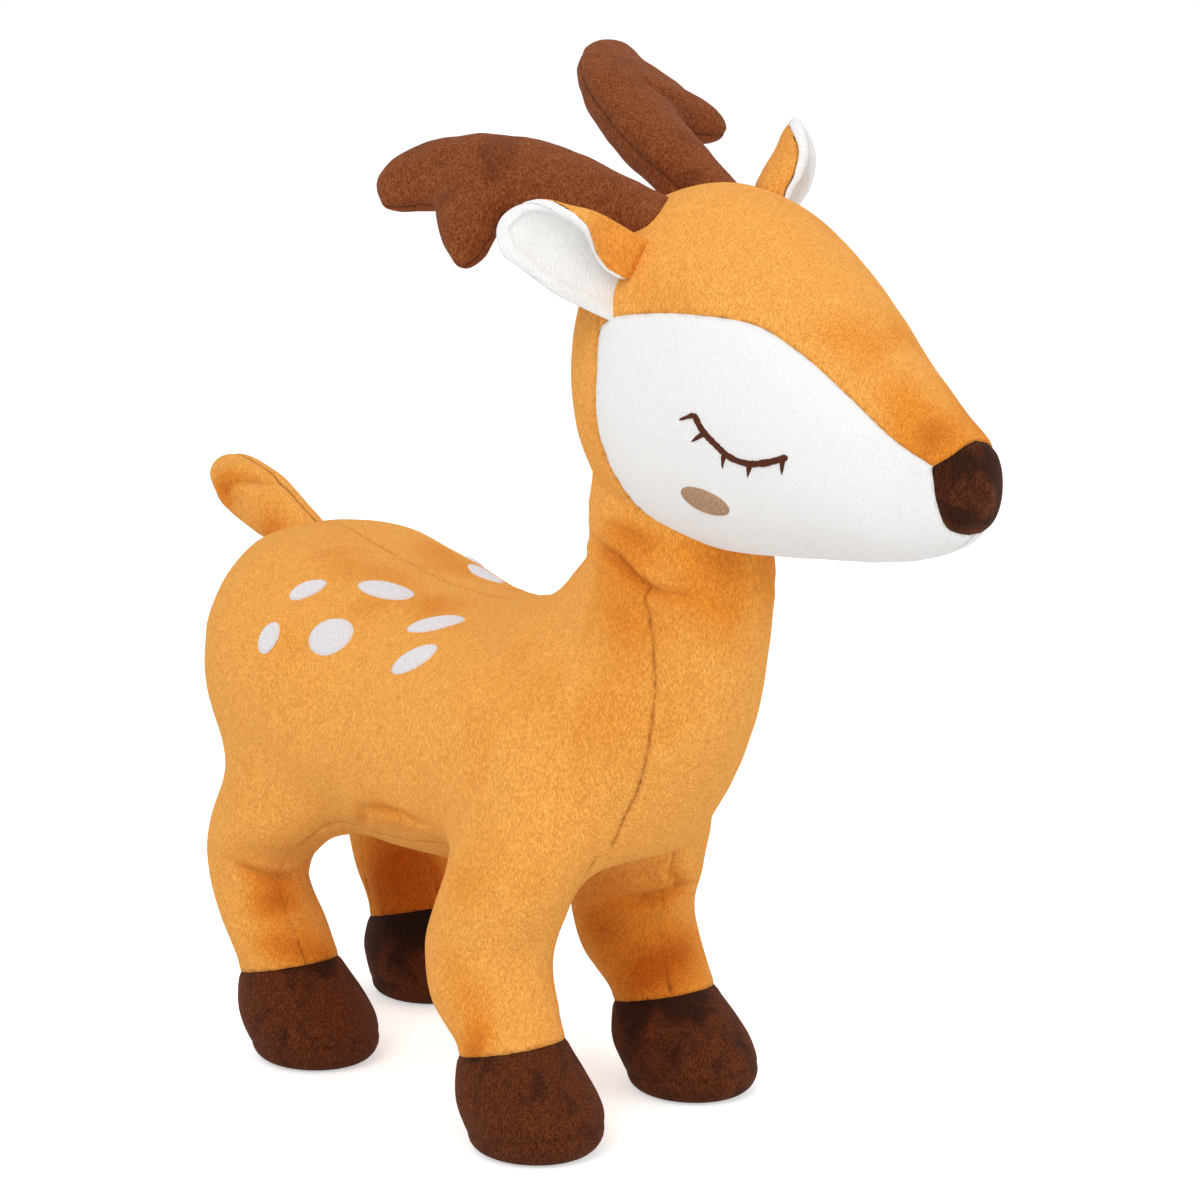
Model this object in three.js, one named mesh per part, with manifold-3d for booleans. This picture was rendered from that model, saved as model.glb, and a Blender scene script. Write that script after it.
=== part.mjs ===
// A plush deer that stands on its four hooves with closed eyes, laid-back antlers and a short tail.
//
// It is built as it is sewn. Each stuffed form is a closed loft, and is used three times: its outside is the
// cloth's outer face, the same form drawn in by the cloth's thickness is the inner face, and drawn in a
// little more it is the fibre filling. Seam lines then cut the cloth into its panels.
//
// Millimetres, +Z up. The deer faces -Y and its left side is +X. While it is being built, Y = 0 is the front
// of the torso and Z = 0 is the floor. The finished group is moved so that its origin is on the floor below
// the middle of its bounding box.

import * as THREE from "three";
import { mergeVertices } from "three/addons/utils/BufferGeometryUtils.js";
import Module from "manifold-3d";

const wasm = await Module();
wasm.setup();

// Cloth and sewing
const clothThickness = 1.6;
const seamGap = 0.3;
const fillingGap = 0.3;
const threadThickness = 0.9;
const cutterOverrun = 60;
const sliverWidth = 0.03;

// Torso
const torsoLength = 264;
const torsoWidth = 128;
const torsoHeight = 120;
const bellyHeight = 84;
const backCrease = 3;

// Neck
const neckDepth = 69;
const neckWidth = 61;
const neckRise = 15;
const throatProud = 7;

// Head
const headLength = 182;
const headHeight = 124;
const headWidth = 88;
const headOverhang = 3;

// Legs
const hoofWidth = 50;
const hoofLength = 54;
const hoofHeight = 35;
const soleHeight = 9;
const kneeBow = 25;
const frontStance = 82;
const hindStance = 92;
const strideOfLegs = { front_left: 0, front_right: 0, hind_left: 35, hind_right: 0 };
const swayOfLegs = { front_left: 1, front_right: -6, hind_left: 3, hind_right: 8 };
const soleFlat = 0.5;

// Antlers
const antlerLength = 105;
const antlerBreadth = 31;
const antlerThickness = 23;
const tineReach = 30;
const tineBreadth = 28;

// Ears
const earLength = 47;
const earWidth = 47;

// Tail
const tailLength = 58;
const tailHeight = 25;
const tailWidth = 22;

// Face
const eyeSpan = 40;
const eyeDrop = 9;
const eyeThread = 2.2;
const lashLength = 5.2;
const lashThread = 1.4;
const blushLength = 19;
const blushHeight = 9;

// How far each sewn root bends
const earBend = 16;
const antlerBend = 15;
const tailBend = 20;

// A quad is split along its shorter diagonal, and along the first one where they are alike to this share
const tieShare = 1.001;

// Share of a form's length within which its sections keep the direction that they have there
const nearEnd = 0.01;

const SIDES = { left: 1, right: -1 };
const rad = THREE.MathUtils.degToRad;

// Turns shares of a box into side-view points [y, z] of that box.
const inBox = ({ front, bottom, length, height }, shares) =>
  shares.map(([a, b]) => [front + a * length, bottom + b * height]);

// Smooth curve through a list of points, with one parameter step to each station.
const smooth = (points) => new THREE.CatmullRomCurve3(points.map(([a, b]) => new THREE.Vector3(a, b, 0)));

// Joins rings of points, all with the same count, into one closed solid. The first and last rings are closed
// on a centre point, or on a pole where one is given.
function loft(rings, startPole, endPole) {
  const sides = rings[0].length;
  const points = rings.flat();
  const triangles = [];
  const start = points.push(startPole ?? middleOf(rings[0])) - 1;
  const end = points.push(endPole ?? middleOf(rings.at(-1))) - 1;
  const last = (rings.length - 1) * sides;
  for (let side = 0; side < sides; side++) {
    const next = (side + 1) % sides;
    triangles.push(start, next, side);
    triangles.push(end, last + side, last + next);
    for (let ring = 0; ring + 1 < rings.length; ring++) {
      const [a, b] = [ring * sides + side, ring * sides + next];
      const [c, d] = [b + sides, a + sides];
      const shorter = points[a].distanceTo(points[c]) <= points[b].distanceTo(points[d]) * tieShare;
      triangles.push(...(shorter ? [a, b, c, a, c, d] : [a, b, d, b, c, d]));
    }
  }
  return solidFrom(points.flatMap((p) => [p.x, p.y, p.z]), triangles);
}

function middleOf(ring) {
  return ring.reduce((sum, p) => sum.add(p), new THREE.Vector3()).divideScalar(ring.length);
}

// A closed solid from plain lists, with its faces turned outwards.
function solidFrom(coordinates, triangles) {
  const vertProperties = new Float32Array(coordinates);
  const make = (triVerts) => new wasm.Manifold(new wasm.Mesh({ numProp: 3, vertProperties, triVerts }));
  const made = make(new Uint32Array(triangles));
  return made.volume() > 0 ? made : make(new Uint32Array(triangles).reverse());
}

function solidOf(geometry) {
  const bare = geometry.clone().deleteAttribute("normal").deleteAttribute("uv");
  const merged = mergeVertices(bare);
  return solidFrom(merged.attributes.position.array, merged.index.array);
}

// A stuffed form between two rails in the side view. Each ring reaches from the lower rail to the upper one,
// and is as wide as halfWidths says. inset draws the whole form in, and a negative inset swells it.
function stuffed(form, inset = 0) {
  const upper = smooth(form.upperRail);
  const lower = smooth(form.lowerRail);
  const width = smooth(form.halfWidths.map((w, i) => [w, form.creases ? form.creases[i] : 0]));
  const middle = (t) => upper.getPoint(t).add(lower.getPoint(t)).divideScalar(2);
  const halfAt = (t) => upper.getPoint(t).sub(lower.getPoint(t)).divideScalar(2);
  const smallest = clothThickness / 4;
  const creaseAngle = form.creaseAngle ?? 1;
  const rings = [];
  const along = middle(1).sub(middle(0)).normalize();
  const drawnIn = (t) => middle(t).addScaledVector(along, inset * (1 - 2 * t));
  for (let i = 0; i <= form.rings; i++) {
    const t = form.roundEnds ? (1 - Math.cos((Math.PI * i) / form.rings)) / 2 : i / form.rings;
    const halfHeight = halfAt(t).length() - inset;
    const halfWidth = width.getPoint(t).x - inset;
    if (halfHeight < smallest || halfWidth < smallest) continue;
    const crease = width.getPoint(t).y;
    const centre = drawnIn(t);
    const up = halfAt(THREE.MathUtils.clamp(t, nearEnd, 1 - nearEnd)).normalize();
    rings.push(sectionPoints(form.sides, form.fullness).map(([across, high, angle]) => {
      const dip = crease * Math.exp(-((angle / creaseAngle) ** 2));
      const rise = high * halfHeight - dip;
      return new THREE.Vector3(across * halfWidth, centre.x + up.x * rise, centre.y + up.y * rise);
    }));
  }
  const pole = (t) => new THREE.Vector3(0, drawnIn(t).x, drawnIn(t).y);
  return form.roundEnds ? loft(rings, pole(0), pole(1)) : loft(rings);
}

// Points of a rounded section with half sizes of 1. The angle runs from 0 at the top to pi at the bottom.
function sectionPoints(sides, fullness) {
  return Array.from({ length: sides }, (_, i) => {
    const turn = (2 * Math.PI * i) / sides;
    const bulge = (v) => Math.sign(v) * Math.abs(v) ** (2 / fullness);
    return [bulge(Math.sin(turn)), bulge(Math.cos(turn)), Math.min(turn, 2 * Math.PI - turn)];
  });
}

// Straight-sided cutters drawn in one view and long enough to pass through the whole deer.
function prism(outline, from, to, axes) {
  const shape = new THREE.Shape(outline.map(([a, b]) => new THREE.Vector2(a, b)));
  const made = new THREE.ExtrudeGeometry(shape, { depth: to - from, bevelEnabled: false });
  made.translate(0, 0, from);
  made.applyMatrix4(new THREE.Matrix4().makeBasis(...axes));
  return solidOf(made);
}

const X = new THREE.Vector3(1, 0, 0);
const Y = new THREE.Vector3(0, 1, 0);
const Z = new THREE.Vector3(0, 0, 1);
const sideViewPrism = (outline, from, to) => prism(outline, from, to, [Y, Z, X]);
const frontViewPrism = (outline, from, to) => prism(outline, from, to, [X, Z, Y.clone().negate()]);
const planPrism = (outline, from, to) => prism(outline, from, to, [X, Y, Z]);

const widest = torsoWidth + cutterOverrun;
const halfOf = (side) => {
  const near = seamGap / 2;
  const reach = torsoLength + headLength + antlerLength + cutterOverrun;
  const outline = [[near, -reach], [widest, -reach], [widest, reach], [near, reach]];
  return planPrism(outline.map(([a, b]) => [side * a, b]), -cutterOverrun, 2 * reach);
};
const middleSplit = { left: halfOf(SIDES.left), right: halfOf(SIDES.right) };

// Torso: from the chest at Y = 0 to the rump.
const torsoBox = { front: 0, bottom: bellyHeight, length: torsoLength, height: torsoHeight };
const backShares = [
  [0, 0.57], [0.03, 0.71], [0.11, 0.82], [0.27, 0.84], [0.42, 0.84], [0.57, 0.855],
  [0.72, 0.93], [0.83, 0.985], [0.93, 0.93], [0.985, 0.69], [1, 0.46],
];
const bellyShares = [
  [0, 0.57], [0.03, 0.48], [0.11, 0.35], [0.27, 0.14], [0.42, 0.02], [0.57, 0],
  [0.72, 0.02], [0.83, 0.06], [0.93, 0.13], [0.985, 0.27], [1, 0.46],
];
const torsoWidthShares = [0, 0.32, 0.6, 0.83, 0.88, 0.93, 1, 0.97, 0.72, 0.37, 0];
const creaseShares = [0, 0, 0, 0, 0.15, 0.55, 1, 1, 0.7, 0.3, 0];
const torsoForm = {
  upperRail: inBox(torsoBox, backShares),
  lowerRail: inBox(torsoBox, bellyShares),
  halfWidths: torsoWidthShares.map((share) => (share * torsoWidth) / 2),
  creases: creaseShares.map((share) => share * backCrease),
  creaseAngle: 0.42,
  fullness: 2.05,
  rings: 15,
  sides: 18,
  roundEnds: true,
};

// Neck: rises from inside the chest into the head.
const headBottom = bellyHeight + torsoHeight + neckRise;
const neckRootShare = 0.14;
const neckInHeadShare = 0.3;
const neckBottom = bellyHeight + neckRootShare * torsoHeight;
const neckTop = headBottom + neckInHeadShare * headHeight;
const neckBox = {
  front: -throatProud, bottom: neckBottom, length: neckDepth, height: neckTop - neckBottom,
};
// Below this the throat stands too little proud of the chest to hold filling of its own.
const neckFillingBottomShare = 0.36;
const neckFillingBottom = neckBottom + neckFillingBottomShare * neckBox.height;
const throatShares = [[0.6, 0], [0.42, 0.1], [0.26, 0.2], [0.13, 0.3], [0.03, 0.445], [0, 0.735], [0.1, 1]];
const napeShares = [[1.38, 0], [1.4, 0.1], [1.4, 0.2], [1.37, 0.3], [1.26, 0.445], [1.06, 0.735], [0.95, 1]];
const neckWidthShares = [0.9, 1.02, 1.1, 1.12, 1.05, 0.97, 0.85];
const neckForm = {
  upperRail: inBox(neckBox, napeShares),
  lowerRail: inBox(neckBox, throatShares),
  halfWidths: neckWidthShares.map((share) => (share * neckWidth) / 2),
  fullness: 2.1,
  rings: 8,
  sides: 16,
};

// Head: from the back of the skull to the tip of the nose.
const headBack = neckBox.front + neckDepth + headOverhang;
const headBox = { front: headBack, bottom: headBottom, length: -headLength, height: headHeight };
const crownShares = [
  [0, 0.5], [0.03, 0.73], [0.12, 0.91], [0.29, 1], [0.45, 0.96], [0.61, 0.81],
  [0.76, 0.61], [0.885, 0.45], [0.965, 0.36], [1, 0.26],
];
const jawShares = [
  [0, 0.5], [0.03, 0.23], [0.12, 0.05], [0.28, 0], [0.45, 0], [0.61, 0.02],
  [0.76, 0.04], [0.885, 0.08], [0.965, 0.15], [1, 0.26],
];
const headWidthShares = [0, 0.48, 0.82, 1, 0.97, 0.84, 0.64, 0.44, 0.28, 0];
const headForm = {
  upperRail: inBox(headBox, crownShares),
  lowerRail: inBox(headBox, jawShares),
  halfWidths: headWidthShares.map((share) => (share * headWidth) / 2),
  fullness: 2.1,
  rings: 14,
  sides: 18,
  roundEnds: true,
};

// Legs: rings from the sole up to the hip inside the torso. Each row holds the ring's height, width and
// length, and how much of the knee's backward bow it has.
const hipShare = 0.5;
const hipHeight = bellyHeight + hipShare * torsoHeight;
const hoofRowShares = [
  [0, 0.7, 0.7], [0.35, 0.89, 0.88], [1, 0.97, 0.97],
];
const ankleRowShares = [
  [0.52, 1, 1, 0.18], [0.78, 0.89, 0.9, 0.36], [1.03, 0.78, 0.77, 0.53],
];
const frontThighShares = [
  [0.34, 0.85, 0.9, 1], [0.47, 0.86, 0.94, 1.2], [0.6, 0.9, 0.99, 0.95], [0.75, 0.88, 1.06, 0.68],
  [0.9, 0.8, 1.06, 0.5], [1, 0.6, 0.85, 0.45],
];
const hindThighShares = [
  [0.35, 0.76, 0.8, 0.92], [0.47, 0.73, 0.76, 1.3], [0.54, 0.8, 0.86, 1.22], [0.61, 0.91, 1.1, 0.86],
  [0.72, 0.94, 1.2, 0.5], [0.88, 0.86, 1.28, 0.2], [1, 0.65, 1, 0.15],
];
const LEGS = {
  front_left: { side: 1, hip: 0.25, stance: frontStance, thigh: frontThighShares },
  front_right: { side: -1, hip: 0.2, stance: frontStance, thigh: frontThighShares },
  hind_left: { side: 1, hip: 0.73, stance: hindStance, thigh: hindThighShares },
  hind_right: { side: -1, hip: 0.72, stance: hindStance, thigh: hindThighShares },
};
const hipStanceShare = 0.76;
const legSides = 12;
const legFullness = 2;

function legRings(name) {
  const leg = LEGS[name];
  const rows = [
    ...hoofRowShares.map(([high, wide, long]) => [high * soleHeight, wide, long, 0]),
    ...ankleRowShares.map(([high, wide, long, bow]) => [high * hoofHeight, wide, long, bow]),
    ...leg.thigh.map(([high, wide, long, bow]) => [high * hipHeight, wide, long, bow]),
  ];
  const hipY = leg.hip * torsoLength;
  return rows.map(([height, wide, long, bow]) => {
    const lift = height / hipHeight;
    return {
      height,
      x: (leg.side * leg.stance * THREE.MathUtils.lerp(1, hipStanceShare, lift ** 2)) / 2
        + swayOfLegs[name] * (1 - lift),
      y: THREE.MathUtils.lerp(hipY + strideOfLegs[name], hipY, lift) + bow * kneeBow,
      halfWidth: (wide * hoofWidth) / 2,
      halfLength: (long * hoofLength) / 2,
    };
  });
}

function legForm(name, inset = 0) {
  const rings = legRings(name).map((ring, i, all) => {
    const height = i === 0 ? ring.height + inset : i === all.length - 1 ? ring.height - inset : ring.height;
    const full = [ring.halfWidth - inset, ring.halfLength - inset];
    return sectionPoints(legSides, legFullness).map(([across, along]) =>
      new THREE.Vector3(ring.x + across * full[0], ring.y - along * full[1], height));
  });
  return loft(rings).subtract(belowFloor(inset));
}

function everythingBelow(height) {
  const reach = 2 * (torsoLength + cutterOverrun);
  const square = [[-reach, -reach], [reach, -reach], [reach, reach], [-reach, reach]];
  return planPrism(square, -cutterOverrun, height);
}

// The soles are pressed flat where they stand.
const belowFloor = (inset) => everythingBelow(soleFlat + inset);

// The forms at one inset, each used for the outer face, the inner face and the filling.
const legNames = Object.keys(LEGS);
const layer = (inset) => ({
  torso: stuffed(torsoForm, inset),
  neck: stuffed(neckForm, inset),
  head: stuffed(headForm, inset),
  ...Object.fromEntries(legNames.map((name) => [name, legForm(name, inset)])),
});
const outer = layer(0);
const inner = layer(clothThickness);
const filling = layer(clothThickness + fillingGap);
const clear = { torso: stuffed(torsoForm, -seamGap), head: stuffed(headForm, -seamGap) };

// Hoof and sole seams: planes across each leg, tipped up towards the toe.
const hoofSeamTilt = 14;
const soleSeamTilt = 6;
function seamSlab(name, height, tilt, above) {
  const leg = LEGS[name];
  const ring = legRings(name).find((row) => row.height >= height);
  const reach = hoofLength;
  const slope = Math.tan(rad(tilt)) * reach;
  const edge = above ? hipHeight + torsoHeight : -cutterOverrun;
  const outline = [
    [ring.y - reach, height + slope], [ring.y + reach, height - slope],
    [ring.y + reach, edge], [ring.y - reach, edge],
  ];
  const middle = (leg.side * leg.stance) / 2 + swayOfLegs[name];
  return sideViewPrism(outline, middle - hoofWidth, middle + hoofWidth);
}

// Body panels: the two sides with the outer faces of the legs, the chest, and the belly with the inner faces.
const unionOf = (solids) => solids.reduce((sum, solid) => sum.add(solid));
const bodyParts = (from) => unionOf([from.torso, from.neck, ...legNames.map((name) => from[name])]);
const aboveHooves = legNames.map((name) => seamSlab(name, hoofHeight, hoofSeamTilt, false));
const bodyCloth = bodyParts(outer).subtract(bodyParts(inner)).subtract(clear.head)
  .subtract(unionOf(aboveHooves));

const chestBottomShare = 0.2;
const chestBottom = bellyHeight + chestBottomShare * torsoHeight;
const chestSeamShares = [
  [0.32, 1.1], [0.32, 0.66], [0.285, 0.54], [0.285, 0.4], [0.3, 0.26], [0.37, 0.18], [0.58, 0.07], [0.69, 0],
  [0.72, -0.1],
];
const chestWidthShares = [[1.5, 1.1], [1.5, 0.26], [0.98, 0.18], [0.86, 0.07], [0.86, -0.1]];
const chestHeightAt = (share) => THREE.MathUtils.lerp(chestBottom, neckTop, share);
function chestCutter(grow) {
  const seam = chestSeamShares.map(([a, b]) => [neckBox.front + a * neckDepth + grow, chestHeightAt(b)]);
  const front = neckBox.front - cutterOverrun;
  const fromSide = sideViewPrism([...seam, [front, seam.at(-1)[1]], [front, seam[0][1]]], -widest, widest);
  const edge = chestWidthShares.map(([a, b]) => [(a * neckWidth) / 2 + grow, chestHeightAt(b)]);
  const fromFront = frontViewPrism([...edge, ...edge.map(([x, z]) => [-x, z]).reverse()], -widest, widest);
  return fromSide.intersect(fromFront);
}

const bellySeamShares = [
  [0.02, 0.35], [0.1, 0.75], [0.22, 1], [0.4, 0.93], [0.58, 0.97], [0.74, 1.1], [0.88, 0.95], [0.96, 0.3],
];
function bellyOutline(grow) {
  const points = bellySeamShares.map(([along, wide]) => [(wide * frontStance) / 2 + grow, along * torsoLength]);
  points[0][1] -= grow;
  points.at(-1)[1] += grow;
  return [...points, ...points.map(([x, y]) => [-x, y]).reverse()];
}
const bellyCutter = (grow) => planPrism(bellyOutline(grow), -cutterOverrun, chestBottom + grow);

const chestPanel = bodyCloth.intersect(chestCutter(0)).subtract(bellyCutter(seamGap));
const bellyPanel = bodyCloth.intersect(bellyCutter(0));
const sideCloth = bodyCloth.subtract(chestCutter(seamGap)).subtract(bellyCutter(seamGap));

// Head panels, cut in the side view: nose, the two cheeks, the top gusset and the two back panels.
const headPoint = ([along, high]) => inBox(headBox, [[along, high]])[0];
const noseSeamShares = [[0.945, 0.6], [0.935, 0.33], [0.945, 0.26], [0.96, 0.15], [0.965, -0.1]];
const cheekTopShares = [
  [0.215, 0.62], [0.25, 0.65], [0.35, 0.675], [0.464, 0.685], [0.582, 0.669], [0.662, 0.611], [0.762, 0.505],
  [0.863, 0.387], [0.935, 0.32],
];
const cheekBackShares = [[0.212, 0.59], [0.21, 0.46], [0.205, 0.33], [0.235, 0.16], [0.3, 0.02], [0.32, -0.1]];
const cheekFrontShares = [[1.1, 0.3], [1.1, -0.1]];
const gussetBackShare = 0.205;
const gussetSideShare = 0.6;

function noseOutline(grow) {
  const seam = noseSeamShares.map(headPoint).map(([y, z]) => [y + grow, z]);
  const [top, bottom] = [seam[0], seam.at(-1)];
  return [...seam, [bottom[0] - cutterOverrun, bottom[1]], [top[0] - cutterOverrun, top[1]]];
}
function cheekOutline(grow) {
  const top = cheekTopShares.map(headPoint).map(([y, z]) => [y, z + grow]);
  const back = cheekBackShares.map(headPoint).map(([y, z]) => [y + grow, z]);
  return [...top, ...cheekFrontShares.map(headPoint), ...back.reverse()];
}
const headCloth = outer.head.subtract(inner.head).subtract(stuffed(neckForm, clothThickness));
const throughHead = [-headWidth, headWidth];
const noseCutter = (grow) => sideViewPrism(noseOutline(grow), ...throughHead);
const cheekCutter = (grow) => sideViewPrism(cheekOutline(grow), ...throughHead);
const crownCutter = (grow) => {
  const [back, low] = headPoint([gussetBackShare, gussetSideShare]);
  const front = back - headLength - cutterOverrun;
  const outline = [
    [back + grow, low], [front, low - headHeight], [front, low + headHeight], [back + grow, low + headHeight],
  ];
  return sideViewPrism(outline, ...throughHead);
};
const nosePanel = headCloth.intersect(noseCutter(0));
const cheekCloth = headCloth.intersect(cheekCutter(0)).subtract(noseCutter(seamGap));
const headTop = headCloth.intersect(crownCutter(0)).subtract(cheekCutter(seamGap))
  .subtract(noseCutter(seamGap));
const headBackCloth = headCloth.subtract(crownCutter(seamGap)).subtract(cheekCutter(seamGap))
  .subtract(noseCutter(seamGap));

// Placing a sewn-on piece: local X runs across it, Y along it and Z up it.
function placed(solid, seat) {
  const { at, along, up } = seat;
  const long = along.clone().normalize();
  const high = up.clone().addScaledVector(long, -up.dot(long)).normalize();
  const across = long.clone().cross(high);
  const matrix = new THREE.Matrix4().makeBasis(across, long, high).setPosition(at);
  return solid.transform(matrix.elements);
}

// A seat's upward direction, squared to the piece's length. Each sewn root is a line along it.
const squaredUp = ({ along, up }) => up.clone().projectOnPlane(along.clone().normalize()).normalize();

// A piece that bends at its sewn root is cut back from what carries it through its whole bend.
function freeToBend(piece, carrier, hinge) {
  const steps = [-1, -0.5, 0, 0.5, 1];
  return steps.reduce((left, step) => {
    const turn = new THREE.Matrix4().makeTranslation(...hinge.at)
      .multiply(new THREE.Matrix4().makeRotationAxis(hinge.axis, rad(-step * hinge.bend)))
      .multiply(new THREE.Matrix4().makeTranslation(...hinge.at.clone().negate()));
    return left.subtract(carrier.transform(turn.elements));
  }, piece);
}

const largest = (solid) => solid.decompose().sort((a, b) => b.volume() - a.volume())[0];

// The point of the head that a piece is sewn to, from shares of its length, height and half width.
function headSeat({ along, high, across }, side) {
  const [y, z] = headPoint([along, high]);
  return new THREE.Vector3((side * across * headWidth) / 2, y, z);
}

// Antlers: a curved beam and one tine, stuffed flat between two faces that meet in a seam round the edge.
const beamUpperShares = [
  [-0.12, 0.3], [0.08, 0.5], [0.3, 0.75], [0.52, 0.84], [0.74, 0.75], [0.92, 0.46], [1, 0.05],
];
const beamLowerShares = [
  [-0.12, -0.34], [0.08, -0.25], [0.3, -0.16], [0.52, -0.12], [0.74, -0.22], [0.92, -0.32], [1, 0],
];
const beamWidthShares = [0.8, 0.9, 1, 1, 0.92, 0.66, 0];
const beamPoint = ([along, high]) => [along * antlerLength, high * antlerBreadth];
const tineAt = 0.61;
const tineUpperShares = [[-0.55, 0.3], [-0.55, -0.2], [-0.53, -0.5], [-0.5, -0.8], [-0.4, -1]];
const tineLowerShares = [[0.5, 0.3], [0.44, -0.2], [0.26, -0.5], [0.02, -0.8], [-0.2, -1]];
const tineWidthShares = [0.95, 0.92, 0.78, 0.6, 0.2];
const tinePoint = ([along, high]) => [tineAt * antlerLength + along * tineBreadth, high * tineReach];

function antlerForm(inset) {
  const beam = stuffed({
    upperRail: beamUpperShares.map(beamPoint),
    lowerRail: beamLowerShares.map(beamPoint),
    halfWidths: beamWidthShares.map((share) => (share * antlerThickness) / 2),
    fullness: 2,
    rings: 9,
    sides: 12,
  }, inset);
  const tine = stuffed({
    upperRail: tineUpperShares.map(tinePoint),
    lowerRail: tineLowerShares.map(tinePoint),
    halfWidths: tineWidthShares.map((share) => (share * antlerThickness) / 2),
    fullness: 2,
    rings: 6,
    sides: 12,
  }, inset);
  return beam.add(tine);
}

const antlerSeatShares = { along: 0.205, high: 0.9, across: 0.5 };
const antlerPose = {
  right: { along: new THREE.Vector3(-0.33, 0.945, 0.08), up: new THREE.Vector3(0.62, 0.34, 0.78) },
  left: { along: new THREE.Vector3(0.19, 0.84, 0.51), up: new THREE.Vector3(-0.955, 0.34, 0.285) },
};

function antler(sideName) {
  const side = SIDES[sideName];
  const at = headSeat(antlerSeatShares, side);
  const seat = { at, ...antlerPose[sideName] };
  const hinge = { at, axis: squaredUp(seat), bend: antlerBend };
  const put = (inset) => placed(antlerForm(inset), seat);
  const cloth = freeToBend(put(0), clear.head, hinge).subtract(put(clothThickness));
  const front = placed(middleSplit.left, seat);
  const back = placed(middleSplit.right, seat);
  return {
    hinge,
    pieces: {
      [`antler_${sideName}_front_cloth`]: cloth.intersect(front),
      [`antler_${sideName}_back_cloth`]: cloth.intersect(back),
      [`antler_${sideName}_stuffing`]: freeToBend(put(clothThickness + fillingGap), clear.head, hinge),
    },
  };
}

// Ears: an outer and an inner layer of cloth, curled lengthwise so that the upper edge folds forward.
const earWidthShares = [0.72, 0.88, 0.98, 1, 0.9, 0.66, 0.3];
const earCurl = [165, 150, 130, 110, 95, 80, 60];
const earTurn = [30, 28, 24, 18, 12, 8, 4];
const earArcSteps = 8;

function earLayer(side, from, to) {
  const rings = earWidthShares.map((share, i) => {
    const along = (i / (earWidthShares.length - 1)) * earLength;
    const radius = (share * earWidth) / rad(earCurl[i]);
    const arc = (offset, backwards) => Array.from({ length: earArcSteps + 1 }, (_, k) => {
      const step = backwards ? earArcSteps - k : k;
      const angle = rad(earCurl[i] * (step / earArcSteps - 0.5) + earTurn[i]);
      const r = radius - offset;
      return new THREE.Vector3(side * (radius - r * Math.cos(angle)), along, r * Math.sin(angle));
    });
    return [...arc(from, false), ...arc(to, true)];
  });
  return loft(rings);
}

const earSeatShares = {
  right: { along: 0.25, high: 0.73, across: 0.82 },
  left: { along: 0.23, high: 0.79, across: 0.745 },
};
const earPose = {
  right: { along: new THREE.Vector3(-0.77, 0.44, 0.48), up: new THREE.Vector3(0.3, -0.12, 0.95) },
  left: { along: new THREE.Vector3(0.32, -0.06, 0.92), up: new THREE.Vector3(-0.69, -0.68, 0.21) },
};
function ear(sideName) {
  const side = SIDES[sideName];
  const at = headSeat(earSeatShares[sideName], side);
  const seat = { at, ...earPose[sideName] };
  const hinge = { at, axis: squaredUp(seat), bend: earBend };
  const put = (from, to) => largest(freeToBend(placed(earLayer(side, from, to), seat), clear.head, hinge));
  return {
    hinge,
    pieces: {
      [`ear_${sideName}_outer_cloth`]: put(0, clothThickness),
      [`ear_${sideName}_inner_cloth`]: put(clothThickness + seamGap, 2 * clothThickness + seamGap),
    },
  };
}

// Tail: a leaf of two halves, seamed along its top and bottom.
const tailUpperShares = [[-0.15, 0.3], [0.15, 0.42], [0.45, 0.5], [0.75, 0.46], [0.93, 0.26], [1, 0]];
const tailLowerShares = [[-0.15, -0.3], [0.15, -0.42], [0.45, -0.5], [0.75, -0.44], [0.93, -0.26], [1, -0.02]];
const tailWidthShares = [0.6, 0.8, 1, 0.9, 0.6, 0];
const tailForm = {
  upperRail: tailUpperShares.map(([a, b]) => [a * tailLength, b * tailHeight]),
  lowerRail: tailLowerShares.map(([a, b]) => [a * tailLength, b * tailHeight]),
  halfWidths: tailWidthShares.map((share) => (share * tailWidth) / 2),
  fullness: 2,
  rings: 8,
  sides: 12,
};
const tailSeatShares = [0.91, 0.9];
const tailLift = 16;

function tail() {
  const [y, z] = inBox(torsoBox, [tailSeatShares])[0];
  const at = new THREE.Vector3(0, y, z);
  const seat = {
    at,
    along: new THREE.Vector3(0, Math.cos(rad(tailLift)), Math.sin(rad(tailLift))),
    up: new THREE.Vector3(0, -Math.sin(rad(tailLift)), Math.cos(rad(tailLift))),
  };
  const hinge = { at, axis: squaredUp(seat), bend: tailBend };
  const put = (inset) => placed(stuffed(tailForm, inset), seat);
  const cloth = freeToBend(put(0), clear.torso, hinge).subtract(put(clothThickness));
  return {
    hinge,
    pieces: {
      tail_left_cloth: largest(cloth.intersect(middleSplit.left)),
      tail_right_cloth: largest(cloth.intersect(middleSplit.right)),
      tail_stuffing: largest(freeToBend(put(clothThickness + fillingGap), clear.torso, hinge)),
    },
  };
}

// Embroidery: thin pads of thread that follow the cloth, cut by an outline seen from the side, or from a
// direction that is lifted towards the back.
function embroidered(form, outline, side, lift = 0, startsAt = 0) {
  const pad = stuffed(form, -(seamGap + threadThickness)).subtract(stuffed(form, -seamGap));
  const outwards = new THREE.Vector3(side * Math.cos(rad(lift)), 0, Math.sin(rad(lift)));
  const upwards = new THREE.Vector3(-side * Math.sin(rad(lift)), 0, Math.cos(rad(lift)));
  return largest(pad.intersect(prism(outline, startsAt, 2 * widest, [Y, upwards, outwards])));
}

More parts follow.
